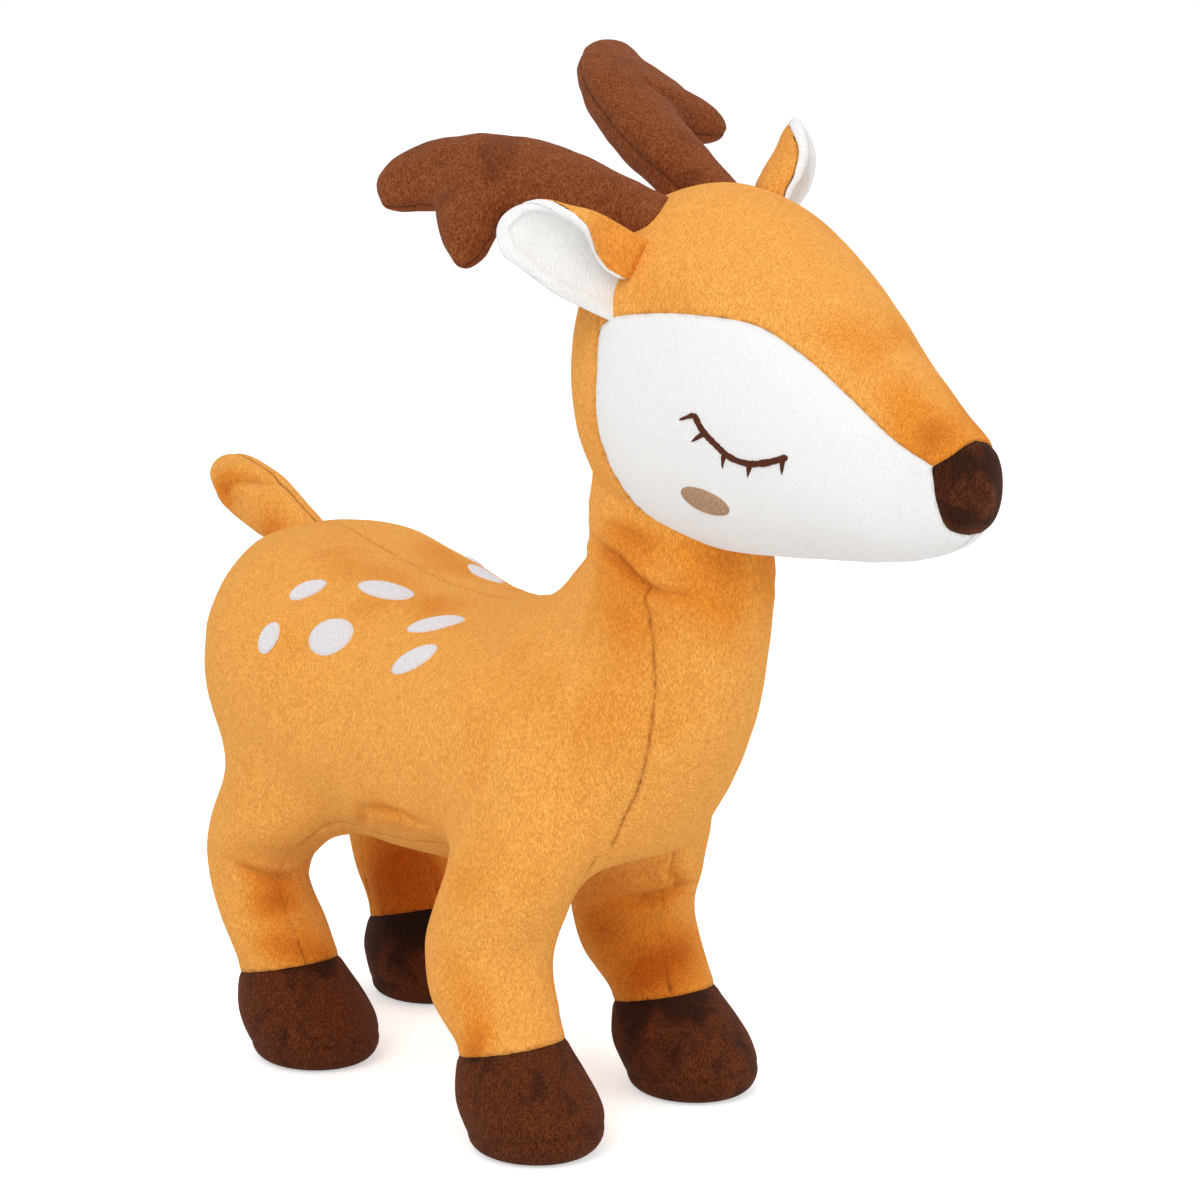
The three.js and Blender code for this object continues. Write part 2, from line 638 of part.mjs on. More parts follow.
// Spots: each place is a share of the torso's length, half width and height.
const spotLift = 40;
const spotShapes = {
  rear_top: { at: [0.709, 0.71, 0.84], length: 15, height: 8.5, tilt: 54 },
  middle: { at: [0.609, 0.825, 0.72], length: 20, height: 16.5, tilt: 25 },
  rear: { at: [0.722, 0.91, 0.695], length: 13, height: 9.5, tilt: 88 },
  top: { at: [0.599, 0.44, 0.855], length: 26, height: 9.5, tilt: 4 },
  front_top: { at: [0.475, 0.5, 0.791], length: 23, height: 8.5, tilt: 28 },
  front: { at: [0.46, 0.71, 0.704], length: 20, height: 10, tilt: 44 },
};
const spotSteps = 10;
function spot({ at: [along, across, high], length, height, tilt }, side) {
  const [c, s] = [Math.cos(rad(spotLift)), Math.sin(rad(spotLift))];
  const out = (across * torsoWidth) / 2;
  const up = bellyHeight + high * torsoHeight;
  const outline = ellipse([along * torsoLength, up * c - out * s], length, height, tilt);
  return embroidered(torsoForm, outline, side, spotLift, out * c + up * s - length);
}

function ellipse(centre, length, height, tilt) {
  return Array.from({ length: spotSteps }, (_, i) => {
    const turn = (2 * Math.PI * i) / spotSteps;
    const a = (Math.cos(turn) * length) / 2;
    const b = (Math.sin(turn) * height) / 2;
    const [c, s] = [Math.cos(rad(tilt)), Math.sin(rad(tilt))];
    return [centre[0] - a * c + b * s, centre[1] + a * s + b * c];
  }).reverse();
}

const eyeShares = [0.575, 0.385];
const eyeTilt = -22;
const blushShares = [0.458, 0.18];
const blushTilt = -14;
const lashShares = [0.02, 0.2, 0.45, 0.7, 0.96];

function eyePoints(grow) {
  const [y, z] = headPoint(eyeShares);
  const steps = 10;
  return Array.from({ length: steps + 1 }, (_, i) => {
    const a = (i / steps - 0.5) * eyeSpan;
    const b = -eyeDrop * (1 - (2 * (i / steps) - 1) ** 2) + grow;
    const [c, s] = [Math.cos(rad(eyeTilt)), Math.sin(rad(eyeTilt))];
    return [y - (a * c - b * s), z + a * s + b * c];
  });
}

function eye(side) {
  const line = [...eyePoints(-eyeThread / 2), ...eyePoints(eyeThread / 2).reverse()];
  const spine = eyePoints(0);
  const pad = stuffed(headForm, -(seamGap + threadThickness)).subtract(stuffed(headForm, -seamGap));
  const span = [0, side * widest].sort((a, b) => a - b);
  const cut = (outline) => pad.intersect(sideViewPrism(outline, ...span));
  const lashes = lashShares.map((share) => {
    const at = spine[Math.round(share * (spine.length - 1))];
    const lean = (share - 0.5) * lashLength;
    const half = lashThread / 2;
    return cut([[at[0] - half, at[1]], [at[0] + half, at[1]], [at[0] + half - lean, at[1] - lashLength],
      [at[0] - half - lean, at[1] - lashLength]].reverse());
  });
  return unionOf([cut(line), ...lashes]);
}

// Finishes
const finish = (color, roughness) => new THREE.MeshStandardMaterial({ color, roughness, metalness: 0 });
const materials = {
  orange: finish(0xdf9540, 0.9),
  white: finish(0xf4f4f2, 0.9),
  brown: finish(0x5a3020, 0.9),
  spotThread: finish(0xe9e4e6, 0.6),
  eyeThread: finish(0x4a2418, 0.6),
  blushThread: finish(0xb0937d, 0.6),
  fibre: finish(0xf0efe9, 1),
};

// Slivers along the cuts that are narrower than a thread are closed up.
const nodes = {};
const bodies = { root: [] };
function add(body, name, solid, material) {
  nodes[name] = { solid: solid.simplify(sliverWidth), material };
  (bodies[body] ??= []).push(name);
}

for (const [name, side] of Object.entries(SIDES)) {
  add("root", `body_side_${name}`, largest(sideCloth.intersect(middleSplit[name])), materials.orange);
  add("root", `cheek_${name}`, largest(cheekCloth.intersect(middleSplit[name])), materials.white);
  add("root", `head_back_${name}`, largest(headBackCloth.intersect(middleSplit[name])), materials.orange);
  add("root", `eye_${name}`, eye(side), materials.eyeThread);
  const blush = ellipse(headPoint(blushShares), blushLength, blushHeight, blushTilt);
  add("root", `blush_${name}`, embroidered(headForm, blush, side), materials.blushThread);
  for (const [place, shape] of Object.entries(spotShapes)) {
    add("root", `spot_${place}_${name}`, spot(shape, side), materials.spotThread);
  }
}
add("root", "chest_panel", largest(chestPanel), materials.orange);
add("root", "belly_panel", largest(bellyPanel), materials.orange);
add("root", "head_top", largest(headTop), materials.orange);
add("root", "nose", largest(nosePanel), materials.brown);

for (const name of legNames) {
  const hoofCloth = outer[name].subtract(inner[name])
    .intersect(seamSlab(name, hoofHeight - seamGap, hoofSeamTilt, false));
  const band = hoofCloth.intersect(seamSlab(name, soleHeight + seamGap, soleSeamTilt, true));
  const sole = hoofCloth.intersect(seamSlab(name, soleHeight, soleSeamTilt, false));
  add("root", `hoof_${name}`, band, materials.brown);
  add("root", `sole_${name}`, sole, materials.brown);
  const thighFilling = filling[name].subtract(inner.torso).subtract(inner.neck);
  add("root", `leg_stuffing_${name}`, thighFilling, materials.fibre);
}
add("root", "torso_stuffing", filling.torso, materials.fibre);
add("root", "head_stuffing", filling.head, materials.fibre);
const neckFilling = filling.neck.subtract(inner.torso).subtract(inner.head)
  .subtract(everythingBelow(neckFillingBottom));
add("root", "neck_stuffing", neckFilling, materials.fibre);

const hinges = {};
const sewnOn = {
  tail: tail(),
  ear_left: ear("left"),
  ear_right: ear("right"),
  antler_left: antler("left"),
  antler_right: antler("right"),
};
for (const [body, made] of Object.entries(sewnOn)) {
  hinges[body] = made.hinge;
  for (const [name, solid] of Object.entries(made.pieces)) {
    const finishName = name.startsWith("antler") ? "brown" : name.includes("inner") ? "white" : "orange";
    add(body, name, solid, name.includes("stuffing") ? materials.fibre : materials[finishName]);
  }
}

// A BufferGeometry of a solid, flat-shaded by its facets.
function geometryOf(solid) {
  const { vertProperties, triVerts, numProp } = solid.getMesh();
  const vertices = new Float32Array((vertProperties.length / numProp) * 3);
  for (let i = 0; i < vertices.length / 3; i++) {
    vertices.set(vertProperties.subarray(i * numProp, i * numProp + 3), i * 3);
  }
  const geometry = new THREE.BufferGeometry();
  geometry.setAttribute("position", new THREE.BufferAttribute(vertices, 3));
  geometry.setIndex(new THREE.BufferAttribute(new Uint32Array(triVerts), 1));
  geometry.computeVertexNormals();
  return geometry;
}

const deer = new THREE.Group();
for (const [name, { solid, material }] of Object.entries(nodes)) {
  const mesh = new THREE.Mesh(geometryOf(solid), material);
  mesh.name = name;
  deer.add(mesh);
}
const bounds = new THREE.Box3().setFromObject(deer);
const middle = bounds.getCenter(new THREE.Vector3());
deer.position.set(-middle.x, -middle.y, -bounds.min.z);

// The pieces that move together, the sewn roots that they bend at, and the middle of each sole.
const soles = Object.fromEntries(legNames.map((name) => {
  const { x, y } = legRings(name)[0];
  return [name, new THREE.Vector3(x, y, soleFlat)];
}));
deer.userData = { bodies, hinges, soles };

export default deer;
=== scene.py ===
import math

import bpy
import numpy as np
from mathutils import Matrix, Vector, noise
from mathutils.bvhtree import BVHTree
from mathutils.kdtree import KDTree


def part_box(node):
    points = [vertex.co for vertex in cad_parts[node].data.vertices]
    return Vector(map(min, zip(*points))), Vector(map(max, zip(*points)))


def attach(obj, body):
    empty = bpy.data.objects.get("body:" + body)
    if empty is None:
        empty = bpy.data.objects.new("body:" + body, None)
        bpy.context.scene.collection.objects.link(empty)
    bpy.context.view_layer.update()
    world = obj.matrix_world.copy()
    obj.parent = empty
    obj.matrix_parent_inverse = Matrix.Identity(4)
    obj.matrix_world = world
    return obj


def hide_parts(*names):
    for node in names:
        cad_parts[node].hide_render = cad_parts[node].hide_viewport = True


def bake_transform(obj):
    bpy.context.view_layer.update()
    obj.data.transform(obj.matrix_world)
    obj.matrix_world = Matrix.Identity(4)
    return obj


# The dressed plush deer. The forms follow the part's source at a finer step. They are joined where they are
# sewn, stuffed as one bag, and cut into cloth panels along the seams.
#
# Shapes are made in millimetres in the source's own frame: Y = 0 at the front of the torso, Z = 0 at the floor,
# the deer faces -Y and its left side is +X. placed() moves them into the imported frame, in metres.

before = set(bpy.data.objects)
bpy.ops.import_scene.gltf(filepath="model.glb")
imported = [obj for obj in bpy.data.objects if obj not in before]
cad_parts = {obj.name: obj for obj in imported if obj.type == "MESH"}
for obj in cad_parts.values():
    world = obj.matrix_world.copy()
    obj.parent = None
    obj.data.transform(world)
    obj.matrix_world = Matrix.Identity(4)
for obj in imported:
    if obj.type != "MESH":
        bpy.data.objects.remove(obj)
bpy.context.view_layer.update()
MM = 0.001

TORSO_LENGTH, TORSO_WIDTH, TORSO_HEIGHT = 264, 128, 120
BELLY_HEIGHT, BACK_CREASE = 84, 3
NECK_DEPTH, NECK_WIDTH, NECK_RISE, THROAT_PROUD = 69, 61, 15, 7
HEAD_LENGTH, HEAD_HEIGHT, HEAD_WIDTH, HEAD_OVERHANG = 182, 124, 88, 3
HOOF_WIDTH, HOOF_LENGTH, HOOF_HEIGHT, SOLE_HEIGHT = 50, 54, 35, 9
KNEE_BOW, SOLE_FLAT = 25, 0.5
SIDES = {"left": 1, "right": -1}

low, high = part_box("torso_stuffing")
OFFSET = np.array([
    (low[0] + high[0]) / 2 / MM,
    (low[1] + high[1]) / 2 / MM - TORSO_LENGTH / 2,
    -SOLE_FLAT,
])


def placed(points):
    return (np.asarray(points, float) + OFFSET) * MM


# Curves: the same centripetal splines as in the source, through a list of points.
def spline(points, t):
    p = np.asarray(points, float)
    p = np.vstack([2 * p[0] - p[1], p, 2 * p[-1] - p[-2]])
    at = np.clip(np.asarray(t, float), 0, 1) * (len(p) - 3)
    i = np.minimum(at.astype(int), len(p) - 4)
    w = (at - i)[:, None]
    x0, x1, x2, x3 = p[i], p[i + 1], p[i + 2], p[i + 3]
    gap = lambda a, b: np.maximum(np.linalg.norm(b - a, axis=1), 1e-8)[:, None] ** 0.5
    d0, d1, d2 = gap(x0, x1), gap(x1, x2), gap(x2, x3)
    t1 = ((x1 - x0) / d0 - (x2 - x0) / (d0 + d1) + (x2 - x1) / d1) * d1
    t2 = ((x2 - x1) / d1 - (x3 - x1) / (d1 + d2) + (x3 - x2) / d2) * d1
    return x1 + t1 * w + (3 * x2 - 3 * x1 - 2 * t1 - t2) * w**2 + (2 * x1 - 2 * x2 + t1 + t2) * w**3


def smooth_line(points, step=1.0):
    """A dense line through points, with about one point to each step of its length."""
    points = np.asarray(points, float)
    length = np.linalg.norm(np.diff(points, axis=0), axis=1).sum()
    return spline(points, np.linspace(0, 1, max(8, int(length / step))))


def in_box(box, shares):
    front, bottom, length, height = box
    return [(front + a * length, bottom + b * height) for a, b in shares]


def section(sides, fullness):
    turn = np.linspace(0, 2 * math.pi, sides, endpoint=False)
    bulge = lambda v: np.sign(v) * np.abs(v) ** (2 / fullness)
    return bulge(np.sin(turn)), bulge(np.cos(turn)), np.minimum(turn, 2 * math.pi - turn)


def bell(far, width):
    """A bell curve: 1 at no distance, fading with it."""
    return np.exp(-((far / width) ** 2))


def loft(rings, ends=None):
    """Points and triangles of one closed solid through rings of points and two end points."""
    count, sides = len(rings), len(rings[0])
    points = np.vstack([*rings, *(ends or (rings[0].mean(0), rings[-1].mean(0)))])
    side = np.arange(sides)
    following = (side + 1) % sides
    start = np.arange(count - 1)[:, None] * sides
    a, b = start + side, start + following
    c, d = b + sides, a + sides
    last = (count - 1) * sides
    corners = [(a, b, c), (a, c, d), (np.full(sides, count * sides), following, side),
               (np.full(sides, count * sides + 1), last + side, last + following)]
    return facing_out(points, np.vstack([np.stack(three, -1).reshape(-1, 3) for three in corners]))


def facing_out(points, faces):
    """Turns a closed solid's triangles to face outwards."""
    a, b, c = (points[faces[:, k], :3] for k in range(3))
    volume = np.einsum("ij,ij->i", a, np.cross(b, c)).sum()
    return points, faces if volume > 0 else faces[:, ::-1]


THINNEST_RING = 0.4


def stuffed(form, rings, sides):
    """The source's stuffed form between two rails, at a finer step."""
    t = np.linspace(0, 1, rings + 1)
    if form.get("round_ends"):
        t = (1 - np.cos(math.pi * t)) / 2
    upper, lower = spline(form["upper"], t), spline(form["lower"], t)
    near = np.clip(t, 0.01, 0.99)
    up = spline(form["upper"], near) - spline(form["lower"], near)
    up /= np.linalg.norm(up, axis=1)[:, None]
    width = spline(list(zip(form["widths"], form.get("creases", [0] * len(form["widths"])))), t)
    middle, half = (upper + lower) / 2, (upper - lower) / 2
    across, rise, angle = section(sides, form["fullness"])
    out = []
    for (y, z), (up_y, up_z), half_height, (wide, crease) in zip(middle, up, half, width):
        high = np.linalg.norm(half_height)
        if min(high, wide) >= THINNEST_RING:
            lift = rise * high - crease * bell(angle, form.get("crease_angle", 1))
            out.append(np.stack([across * wide, y + up_y * lift, z + up_z * lift], -1))
    return loft(out, [(0, *middle[0]), (0, *middle[-1])] if form.get("round_ends") else None)


def soft_form(box, width, upper, lower, widths, fullness=2, **more):
    """A stuffed form: its rails are shares of a box in the side view, and its widths of one width."""
    return {"upper": in_box(box, upper), "lower": in_box(box, lower), "widths": [w * width / 2 for w in widths],
            "fullness": fullness, **more}


# The torso, the neck and the head.
TORSO_BOX = (0, BELLY_HEIGHT, TORSO_LENGTH, TORSO_HEIGHT)
TORSO = soft_form(
    TORSO_BOX, TORSO_WIDTH,
    [(0, 0.57), (0.03, 0.71), (0.11, 0.82), (0.27, 0.84), (0.42, 0.84), (0.57, 0.855),
     (0.72, 0.93), (0.83, 0.985), (0.93, 0.93), (0.985, 0.69), (1, 0.46)],
    [(0, 0.57), (0.03, 0.48), (0.11, 0.35), (0.27, 0.14), (0.42, 0.02), (0.57, 0),
     (0.72, 0.02), (0.83, 0.06), (0.93, 0.13), (0.985, 0.27), (1, 0.46)],
    (0, 0.32, 0.6, 0.83, 0.88, 0.93, 1, 0.97, 0.72, 0.37, 0),
    fullness=2.05, round_ends=True, crease_angle=0.42,
    creases=[c * BACK_CREASE for c in (0, 0, 0, 0, 0.15, 0.55, 1, 1, 0.7, 0.3, 0)])
HEAD_BOTTOM = BELLY_HEIGHT + TORSO_HEIGHT + NECK_RISE
NECK_BOTTOM = BELLY_HEIGHT + 0.14 * TORSO_HEIGHT
NECK_TOP = HEAD_BOTTOM + 0.3 * HEAD_HEIGHT
NECK_BOX = (-THROAT_PROUD, NECK_BOTTOM, NECK_DEPTH, NECK_TOP - NECK_BOTTOM)
NECK = soft_form(
    NECK_BOX, NECK_WIDTH,
    [(1.38, 0), (1.4, 0.1), (1.4, 0.2), (1.37, 0.3), (1.26, 0.445), (1.06, 0.735), (0.95, 1)],
    [(0.6, 0), (0.42, 0.1), (0.26, 0.2), (0.13, 0.3), (0.03, 0.445), (0, 0.735), (0.1, 1)],
    (0.9, 1.02, 1.1, 1.12, 1.05, 0.97, 0.85), fullness=2.1)
# The stuffing that fills the corner between the neck and the back.
NAPE = {
    "upper": [(62, 223), (70, 209), (78, 199), (86, 193), (98, 189), (114, 185)],
    "lower": [(48, 196), (54, 182), (62, 172), (72, 166), (88, 162), (110, 160)],
    "widths": [17, 21, 24, 25, 25, 22], "fullness": 2,
}
HEAD_BACK = -THROAT_PROUD + NECK_DEPTH + HEAD_OVERHANG
HEAD_BOX = (HEAD_BACK, HEAD_BOTTOM, -HEAD_LENGTH, HEAD_HEIGHT)
HEAD = soft_form(
    HEAD_BOX, HEAD_WIDTH,
    [(0, 0.5), (0.03, 0.73), (0.12, 0.91), (0.29, 1), (0.45, 0.96), (0.61, 0.81),
     (0.76, 0.615), (0.885, 0.48), (0.965, 0.4), (1, 0.27)],
    [(0, 0.5), (0.03, 0.23), (0.12, 0.05), (0.28, 0), (0.45, 0), (0.61, 0.02),
     (0.76, 0.04), (0.885, 0.08), (0.965, 0.15), (1, 0.27)],
    (0, 0.48, 0.82, 1, 0.97, 0.84, 0.64, 0.44, 0.28, 0), fullness=2.1, round_ends=True)

# Legs: rows of height, width, length and knee bow, from the sole to the hip.
HIP_HEIGHT = BELLY_HEIGHT + 0.5 * TORSO_HEIGHT
HOOF_ROWS = [(0, 0.7, 0.7), (0.35, 0.89, 0.88), (1, 0.97, 0.97)]
ANKLE_ROWS = [(0.52, 1, 1, 0.18), (0.78, 0.89, 0.9, 0.36), (1.03, 0.78, 0.77, 0.53)]
FRONT_THIGH = [(0.34, 0.85, 0.9, 1), (0.47, 0.86, 0.94, 1.2), (0.6, 0.9, 0.99, 0.95), (0.75, 0.88, 1.06, 0.68),
               (0.9, 0.8, 1.06, 0.5), (1, 0.6, 0.85, 0.45)]
HIND_THIGH = [(0.35, 0.76, 0.8, 0.92), (0.47, 0.73, 0.76, 1.3), (0.54, 0.8, 0.86, 1.22),
              (0.61, 0.91, 1.1, 0.86), (0.72, 0.94, 1.2, 0.5), (0.88, 0.86, 1.28, 0.2), (1, 0.65, 1, 0.15)]
LEGS = {
    "front_left": dict(side=1, hip=0.25, stance=82, thigh=FRONT_THIGH, stride=0, sway=1),
    "front_right": dict(side=-1, hip=0.2, stance=82, thigh=FRONT_THIGH, stride=0, sway=-6),
    "hind_left": dict(side=1, hip=0.73, stance=92, thigh=HIND_THIGH, stride=35, sway=3),
    "hind_right": dict(side=-1, hip=0.72, stance=92, thigh=HIND_THIGH, stride=0, sway=8),
}
LEG_LEAN_SHARE = 0.24


def leg_rows(name):
    """Rows of height, x, y, half width and half length."""
    leg = LEGS[name]
    rows = [(h * SOLE_HEIGHT, w, l, 0) for h, w, l in HOOF_ROWS]
    rows += [(h * HOOF_HEIGHT, w, l, b) for h, w, l, b in ANKLE_ROWS]
    rows += [(h * HIP_HEIGHT, w, l, b) for h, w, l, b in leg["thigh"]]
    out = []
    for height, wide, long, bow in rows:
        lift = height / HIP_HEIGHT
        x = leg["side"] * leg["stance"] / 2 * (1 - LEG_LEAN_SHARE * lift**2) + leg["sway"] * (1 - lift)
        y = leg["hip"] * TORSO_LENGTH + leg["stride"] * (1 - lift) + bow * KNEE_BOW
        out.append((height, x, y, wide * HOOF_WIDTH / 2, long * HOOF_LENGTH / 2))
    return np.array(out)


def leg_solid(name, rings=70, sides=64):
    rows = spline(leg_rows(name), np.linspace(0, 1, rings + 1))
    rows[:, 0] = np.maximum(rows[:, 0], SOLE_FLAT)
    across, along, _ = section(sides, 2)
    return loft([np.stack([x + across * w, y - along * l, np.full(sides, z)], -1) for z, x, y, w, l in rows])


# Meshes are arrays: points with extra columns, and triangles. The extra columns of cloth: painted shade in the
# seams and folds, the tone of brushed pile and painted shade, and the seams' strength:
SEAM_SHADE, BRUSHING_AND_SHADE, STRENGTH = 3, 4, 5


def mesh_data(points, faces):
    made = bpy.data.meshes.new("shape")
    made.from_pydata(np.asarray(points)[:, :3].tolist(), [], np.asarray(faces).tolist())
    return made


def new_object(name, data):
    made = bpy.data.objects.new(name, data)
    bpy.context.scene.collection.objects.link(made)
    return made


def merged(meshes):
    """Several meshes as one."""
    starts = np.cumsum([0] + [len(points) for points, _ in meshes])
    return (np.vstack([points for points, _ in meshes]),
            np.vstack([faces + start for (_, faces), start in zip(meshes, starts)]))


def skin(solids, voxel):
    """One closed skin round several closed solids."""
    made = new_object("skin", mesh_data(*merged(solids)))
    remesh = made.modifiers.new("skin", "REMESH")
    remesh.mode = "VOXEL"
    remesh.voxel_size = voxel
    graph = bpy.context.evaluated_depsgraph_get()
    result = bpy.data.meshes.new_from_object(made.evaluated_get(graph))
    points, faces = triangles_of(result)
    bpy.data.objects.remove(made)
    bpy.data.meshes.remove(result)
    return points, faces


def triangles_of(mesh):
    mesh.calc_loop_triangles()
    points = np.zeros(len(mesh.vertices) * 3)
    mesh.vertices.foreach_get("co", points)
    faces = np.zeros(len(mesh.loop_triangles) * 3, int)
    mesh.loop_triangles.foreach_get("vertices", faces)
    return points.reshape(-1, 3), faces.reshape(-1, 3)


def sides_of(faces):
    return np.vstack([faces[:, [0, 1]], faces[:, [1, 2]], faces[:, [2, 0]]])


def open_edges(faces):
    """The sides that only one triangle has, in its own direction."""
    pairs = sides_of(faces)
    _, first, count = np.unique(np.sort(pairs, axis=1), axis=0, return_index=True, return_counts=True)
    return pairs[first[count == 1]]


def relaxed(points, faces, weight, steps):
    """Each point moves towards its neighbours' mean, by its weight, in each step."""
    a, b = np.unique(np.sort(sides_of(faces), axis=1), axis=0).T
    ends, others = np.r_[a, b], np.r_[b, a]
    count = np.bincount(ends, minlength=len(points))[:, None]
    points = points.copy()
    for _ in range(steps):
        near = np.stack([np.bincount(ends, points[others, k], len(points)) for k in range(3)], 1)
        points += np.reshape(weight, (-1, 1)) * (near / count - points)
    return points


def normals_of(points, faces):
    a, b, c = (points[faces[:, k], :3] for k in range(3))
    cross = np.cross(b - a, c - a)
    out = np.zeros((len(points), 3))
    for k in range(3):
        for axis in range(3):
            out[:, axis] += np.bincount(faces[:, k], cross[:, axis], len(points))
    return out / np.maximum(np.linalg.norm(out, axis=1), 1e-12)[:, None]


def tree_of(points, faces):
    return BVHTree.FromPolygons(points[:, :3].tolist(), faces.tolist())


def distance_to(tree, points):
    return np.array([tree.find_nearest(Vector(p))[3] for p in points[:, :3]])


def noise_at(points, size, seed):
    """Smooth noise from -1 to 1 with features of that size."""
    shift = Vector((seed * 31.7, seed * 17.3, seed * 7.1))
    return np.array([noise.noise(Vector(p) / size + shift) for p in np.asarray(points)[:, :3].tolist()])


def split(mesh, field):
    """Cuts a mesh along field = 0 into the part below and the part above, with their extra columns."""
    points, faces = mesh
    field = np.where(np.abs(field) < 1e-4, 1e-4, field)
    above = field > 0
    count = above[faces].sum(1)
    parts = {False: [faces[count == 0]], True: [faces[count == 3]]}
    mixed = faces[(count == 1) | (count == 2)]
    lone_above = above[mixed].sum(1) == 1
    lone = np.argmax(above[mixed] == lone_above[:, None], axis=1)
    rows = np.arange(len(mixed))
    a, b, c = mixed[rows, lone], mixed[rows, (lone + 1) % 3], mixed[rows, (lone + 2) % 3]
    pairs = np.sort(np.vstack([np.stack([a, b], 1), np.stack([a, c], 1)]), axis=1)
    edges, inverse = np.unique(pairs, axis=0, return_inverse=True)
    inverse = inverse.reshape(-1)
    share = field[edges[:, 0]] / (field[edges[:, 0]] - field[edges[:, 1]])
    cut = points[edges[:, 0]] * (1 - share)[:, None] + points[edges[:, 1]] * share[:, None]
    ab, ac = inverse[:len(a)] + len(points), inverse[len(a):] + len(points)
    tip = np.stack([a, ab, ac], 1)
    rest = np.vstack([np.stack([ab, b, c], 1), np.stack([ab, c, ac], 1)])
    both = np.r_[lone_above, lone_above]
    parts[True] += [tip[lone_above], rest[~both]]
    parts[False] += [tip[~lone_above], rest[both]]
    everything = np.vstack([points, cut])
    return tuple(packed(everything, np.vstack(parts[k])) for k in (False, True))


def packed(points, faces):
    used, inverse = np.unique(faces, return_inverse=True)
    return points[used], inverse.reshape(-1, 3)


def biggest(mesh):
    """The largest connected piece of a mesh."""
    points, faces = mesh
    if not len(faces):
        return mesh
    label = np.arange(len(points))
    while True:
        lowest = label[faces].min(1)
        new = label.copy()
        for k in range(3):
            np.minimum.at(new, faces[:, k], lowest)
        new = new[new]
        if (new == label).all():
            break
        label = new
    keep = np.bincount(label[faces[:, 0]]).argmax()
    return packed(points, faces[label[faces[:, 0]] == keep])


def border(mesh):
    """Points along the open edges of a mesh, close together."""
    points, faces = mesh
    a, b = points[np.sort(open_edges(faces), axis=1).T, :3]
    return np.vstack([a, (a + b) / 2])

SEARCH_LIMIT = 30.0


def far_from(lines, points):
    """Distance from each point to the nearest point of the lines, up to a limit, and that point's number."""
    tree = KDTree(len(lines))
    for i, p in enumerate(lines.tolist()):
        tree.insert(p, i)
    tree.balance()
    found = np.array([tree.find(p)[1:] for p in points[:, :3].tolist()])
    return np.minimum(found[:, 1], SEARCH_LIMIT), found[:, 0].astype(int)


def outline_distance(outline, points):
    """Signed distance of 2-D points to a closed outline, negative inside."""
    out = np.full(len(points), np.inf)
    inside = np.zeros(len(points), bool)
    ring = np.vstack([outline, outline[:1]])
    for a, b in zip(ring[:-1], ring[1:]):
        edge = b - a
        share = np.clip(((points - a) @ edge) / max(edge @ edge, 1e-9), 0, 1)
        out = np.minimum(out, np.linalg.norm(points - a - share[:, None] * edge, axis=1))
        crosses = (a[1] > points[:, 1]) != (b[1] > points[:, 1])
        at = a[0] + (points[:, 1] - a[1]) * edge[0] / (edge[1] if edge[1] else 1e-9)
        inside ^= crosses & (points[:, 0] < at)
    return np.where(inside, -out, out)


def mirrored(line):
    """A closed outline from its one half."""
    return np.vstack([line, line[::-1] * [-1, 1]])


# A panel's edge is sunk by the dip and turned inwards by the allowance, and its painted shade is broken into
# stitch pits over the pucker size.
SEAM_DIP, BODY_ALLOWANCE, SMALL_ALLOWANCE, PUCKER_SIZE = 0.45, 1.2, 1.0, 1.5


def with_skirt(mesh, depth):
    """Sinks the open edges of a panel, paints shade along them, and turns them inwards, as its seam allowance.
    """
    points, faces = mesh
    points = points.copy()
    normals = normals_of(points, faces)
    rim, inverse = np.unique(open_edges(faces), return_inverse=True)
    inverse = inverse.reshape(-1, 2)
    # Painted shade along the edge, broken into stitch pits by noise over the pucker size.
    stitches = 0.65 + 0.9 * noise_at(points[rim], PUCKER_SIZE, 4)
    points[rim, :3] -= normals[rim] * (SEAM_DIP * points[rim, STRENGTH, None])
    points[rim, SEAM_SHADE] = points[rim, STRENGTH] * np.clip(stitches, 0.2, 1)
    turned = points[rim].copy()
    turned[:, :3] -= normals[rim] * depth
    a, b = inverse[:, 0] + len(points), inverse[:, 1] + len(points)
    c, d = b + len(rim), a + len(rim)
    return (np.vstack([points, points[rim], turned]),
            np.vstack([faces, np.stack([b, a, d], 1), np.stack([b, d, c], 1)]))


# The filling inside, by the piece of cloth that stands for it too.
FILLING = {
    "body_side_left": ["torso_stuffing"], "chest_panel": ["neck_stuffing"], "head_top": ["head_stuffing"],
    "tail_left_cloth": ["tail_stuffing"],
    **{f"hoof_{name}": [f"leg_stuffing_{name}"] for name in LEGS},
    **{f"antler_{name}_front_cloth": [f"antler_{name}_stuffing"] for name in SIDES},
}


def dress(node, mesh, finish):
    """A piece that stands for a CAD node, smooth shaded, with the mesh's extra columns as attributes."""
    (points, faces), (slot, material, columns) = mesh, finish
    made = mesh_data(placed(points[:, :3]), faces)
    made.polygons.foreach_set("use_smooth", np.ones(len(made.polygons), bool))
    for i, column in enumerate(columns):
        attribute = made.attributes.new(column, "FLOAT", "POINT")
        attribute.data.foreach_set("value", points[:, 3 + i].astype(np.float32))
    made.materials.append(material)
    obj = new_object(f"{node}_dressed", made)
    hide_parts(node, *FILLING.get(node, []))
    return obj


# Finishes: colours are codes of the screen, and lengths are metres.
def linear(code):
    parts = [int(code[i:i + 2], 16) / 255 for i in (0, 2, 4)]
    return tuple(c / 12.92 if c <= 0.04045 else ((c + 0.055) / 1.055) ** 2.4 for c in parts) + (1,)


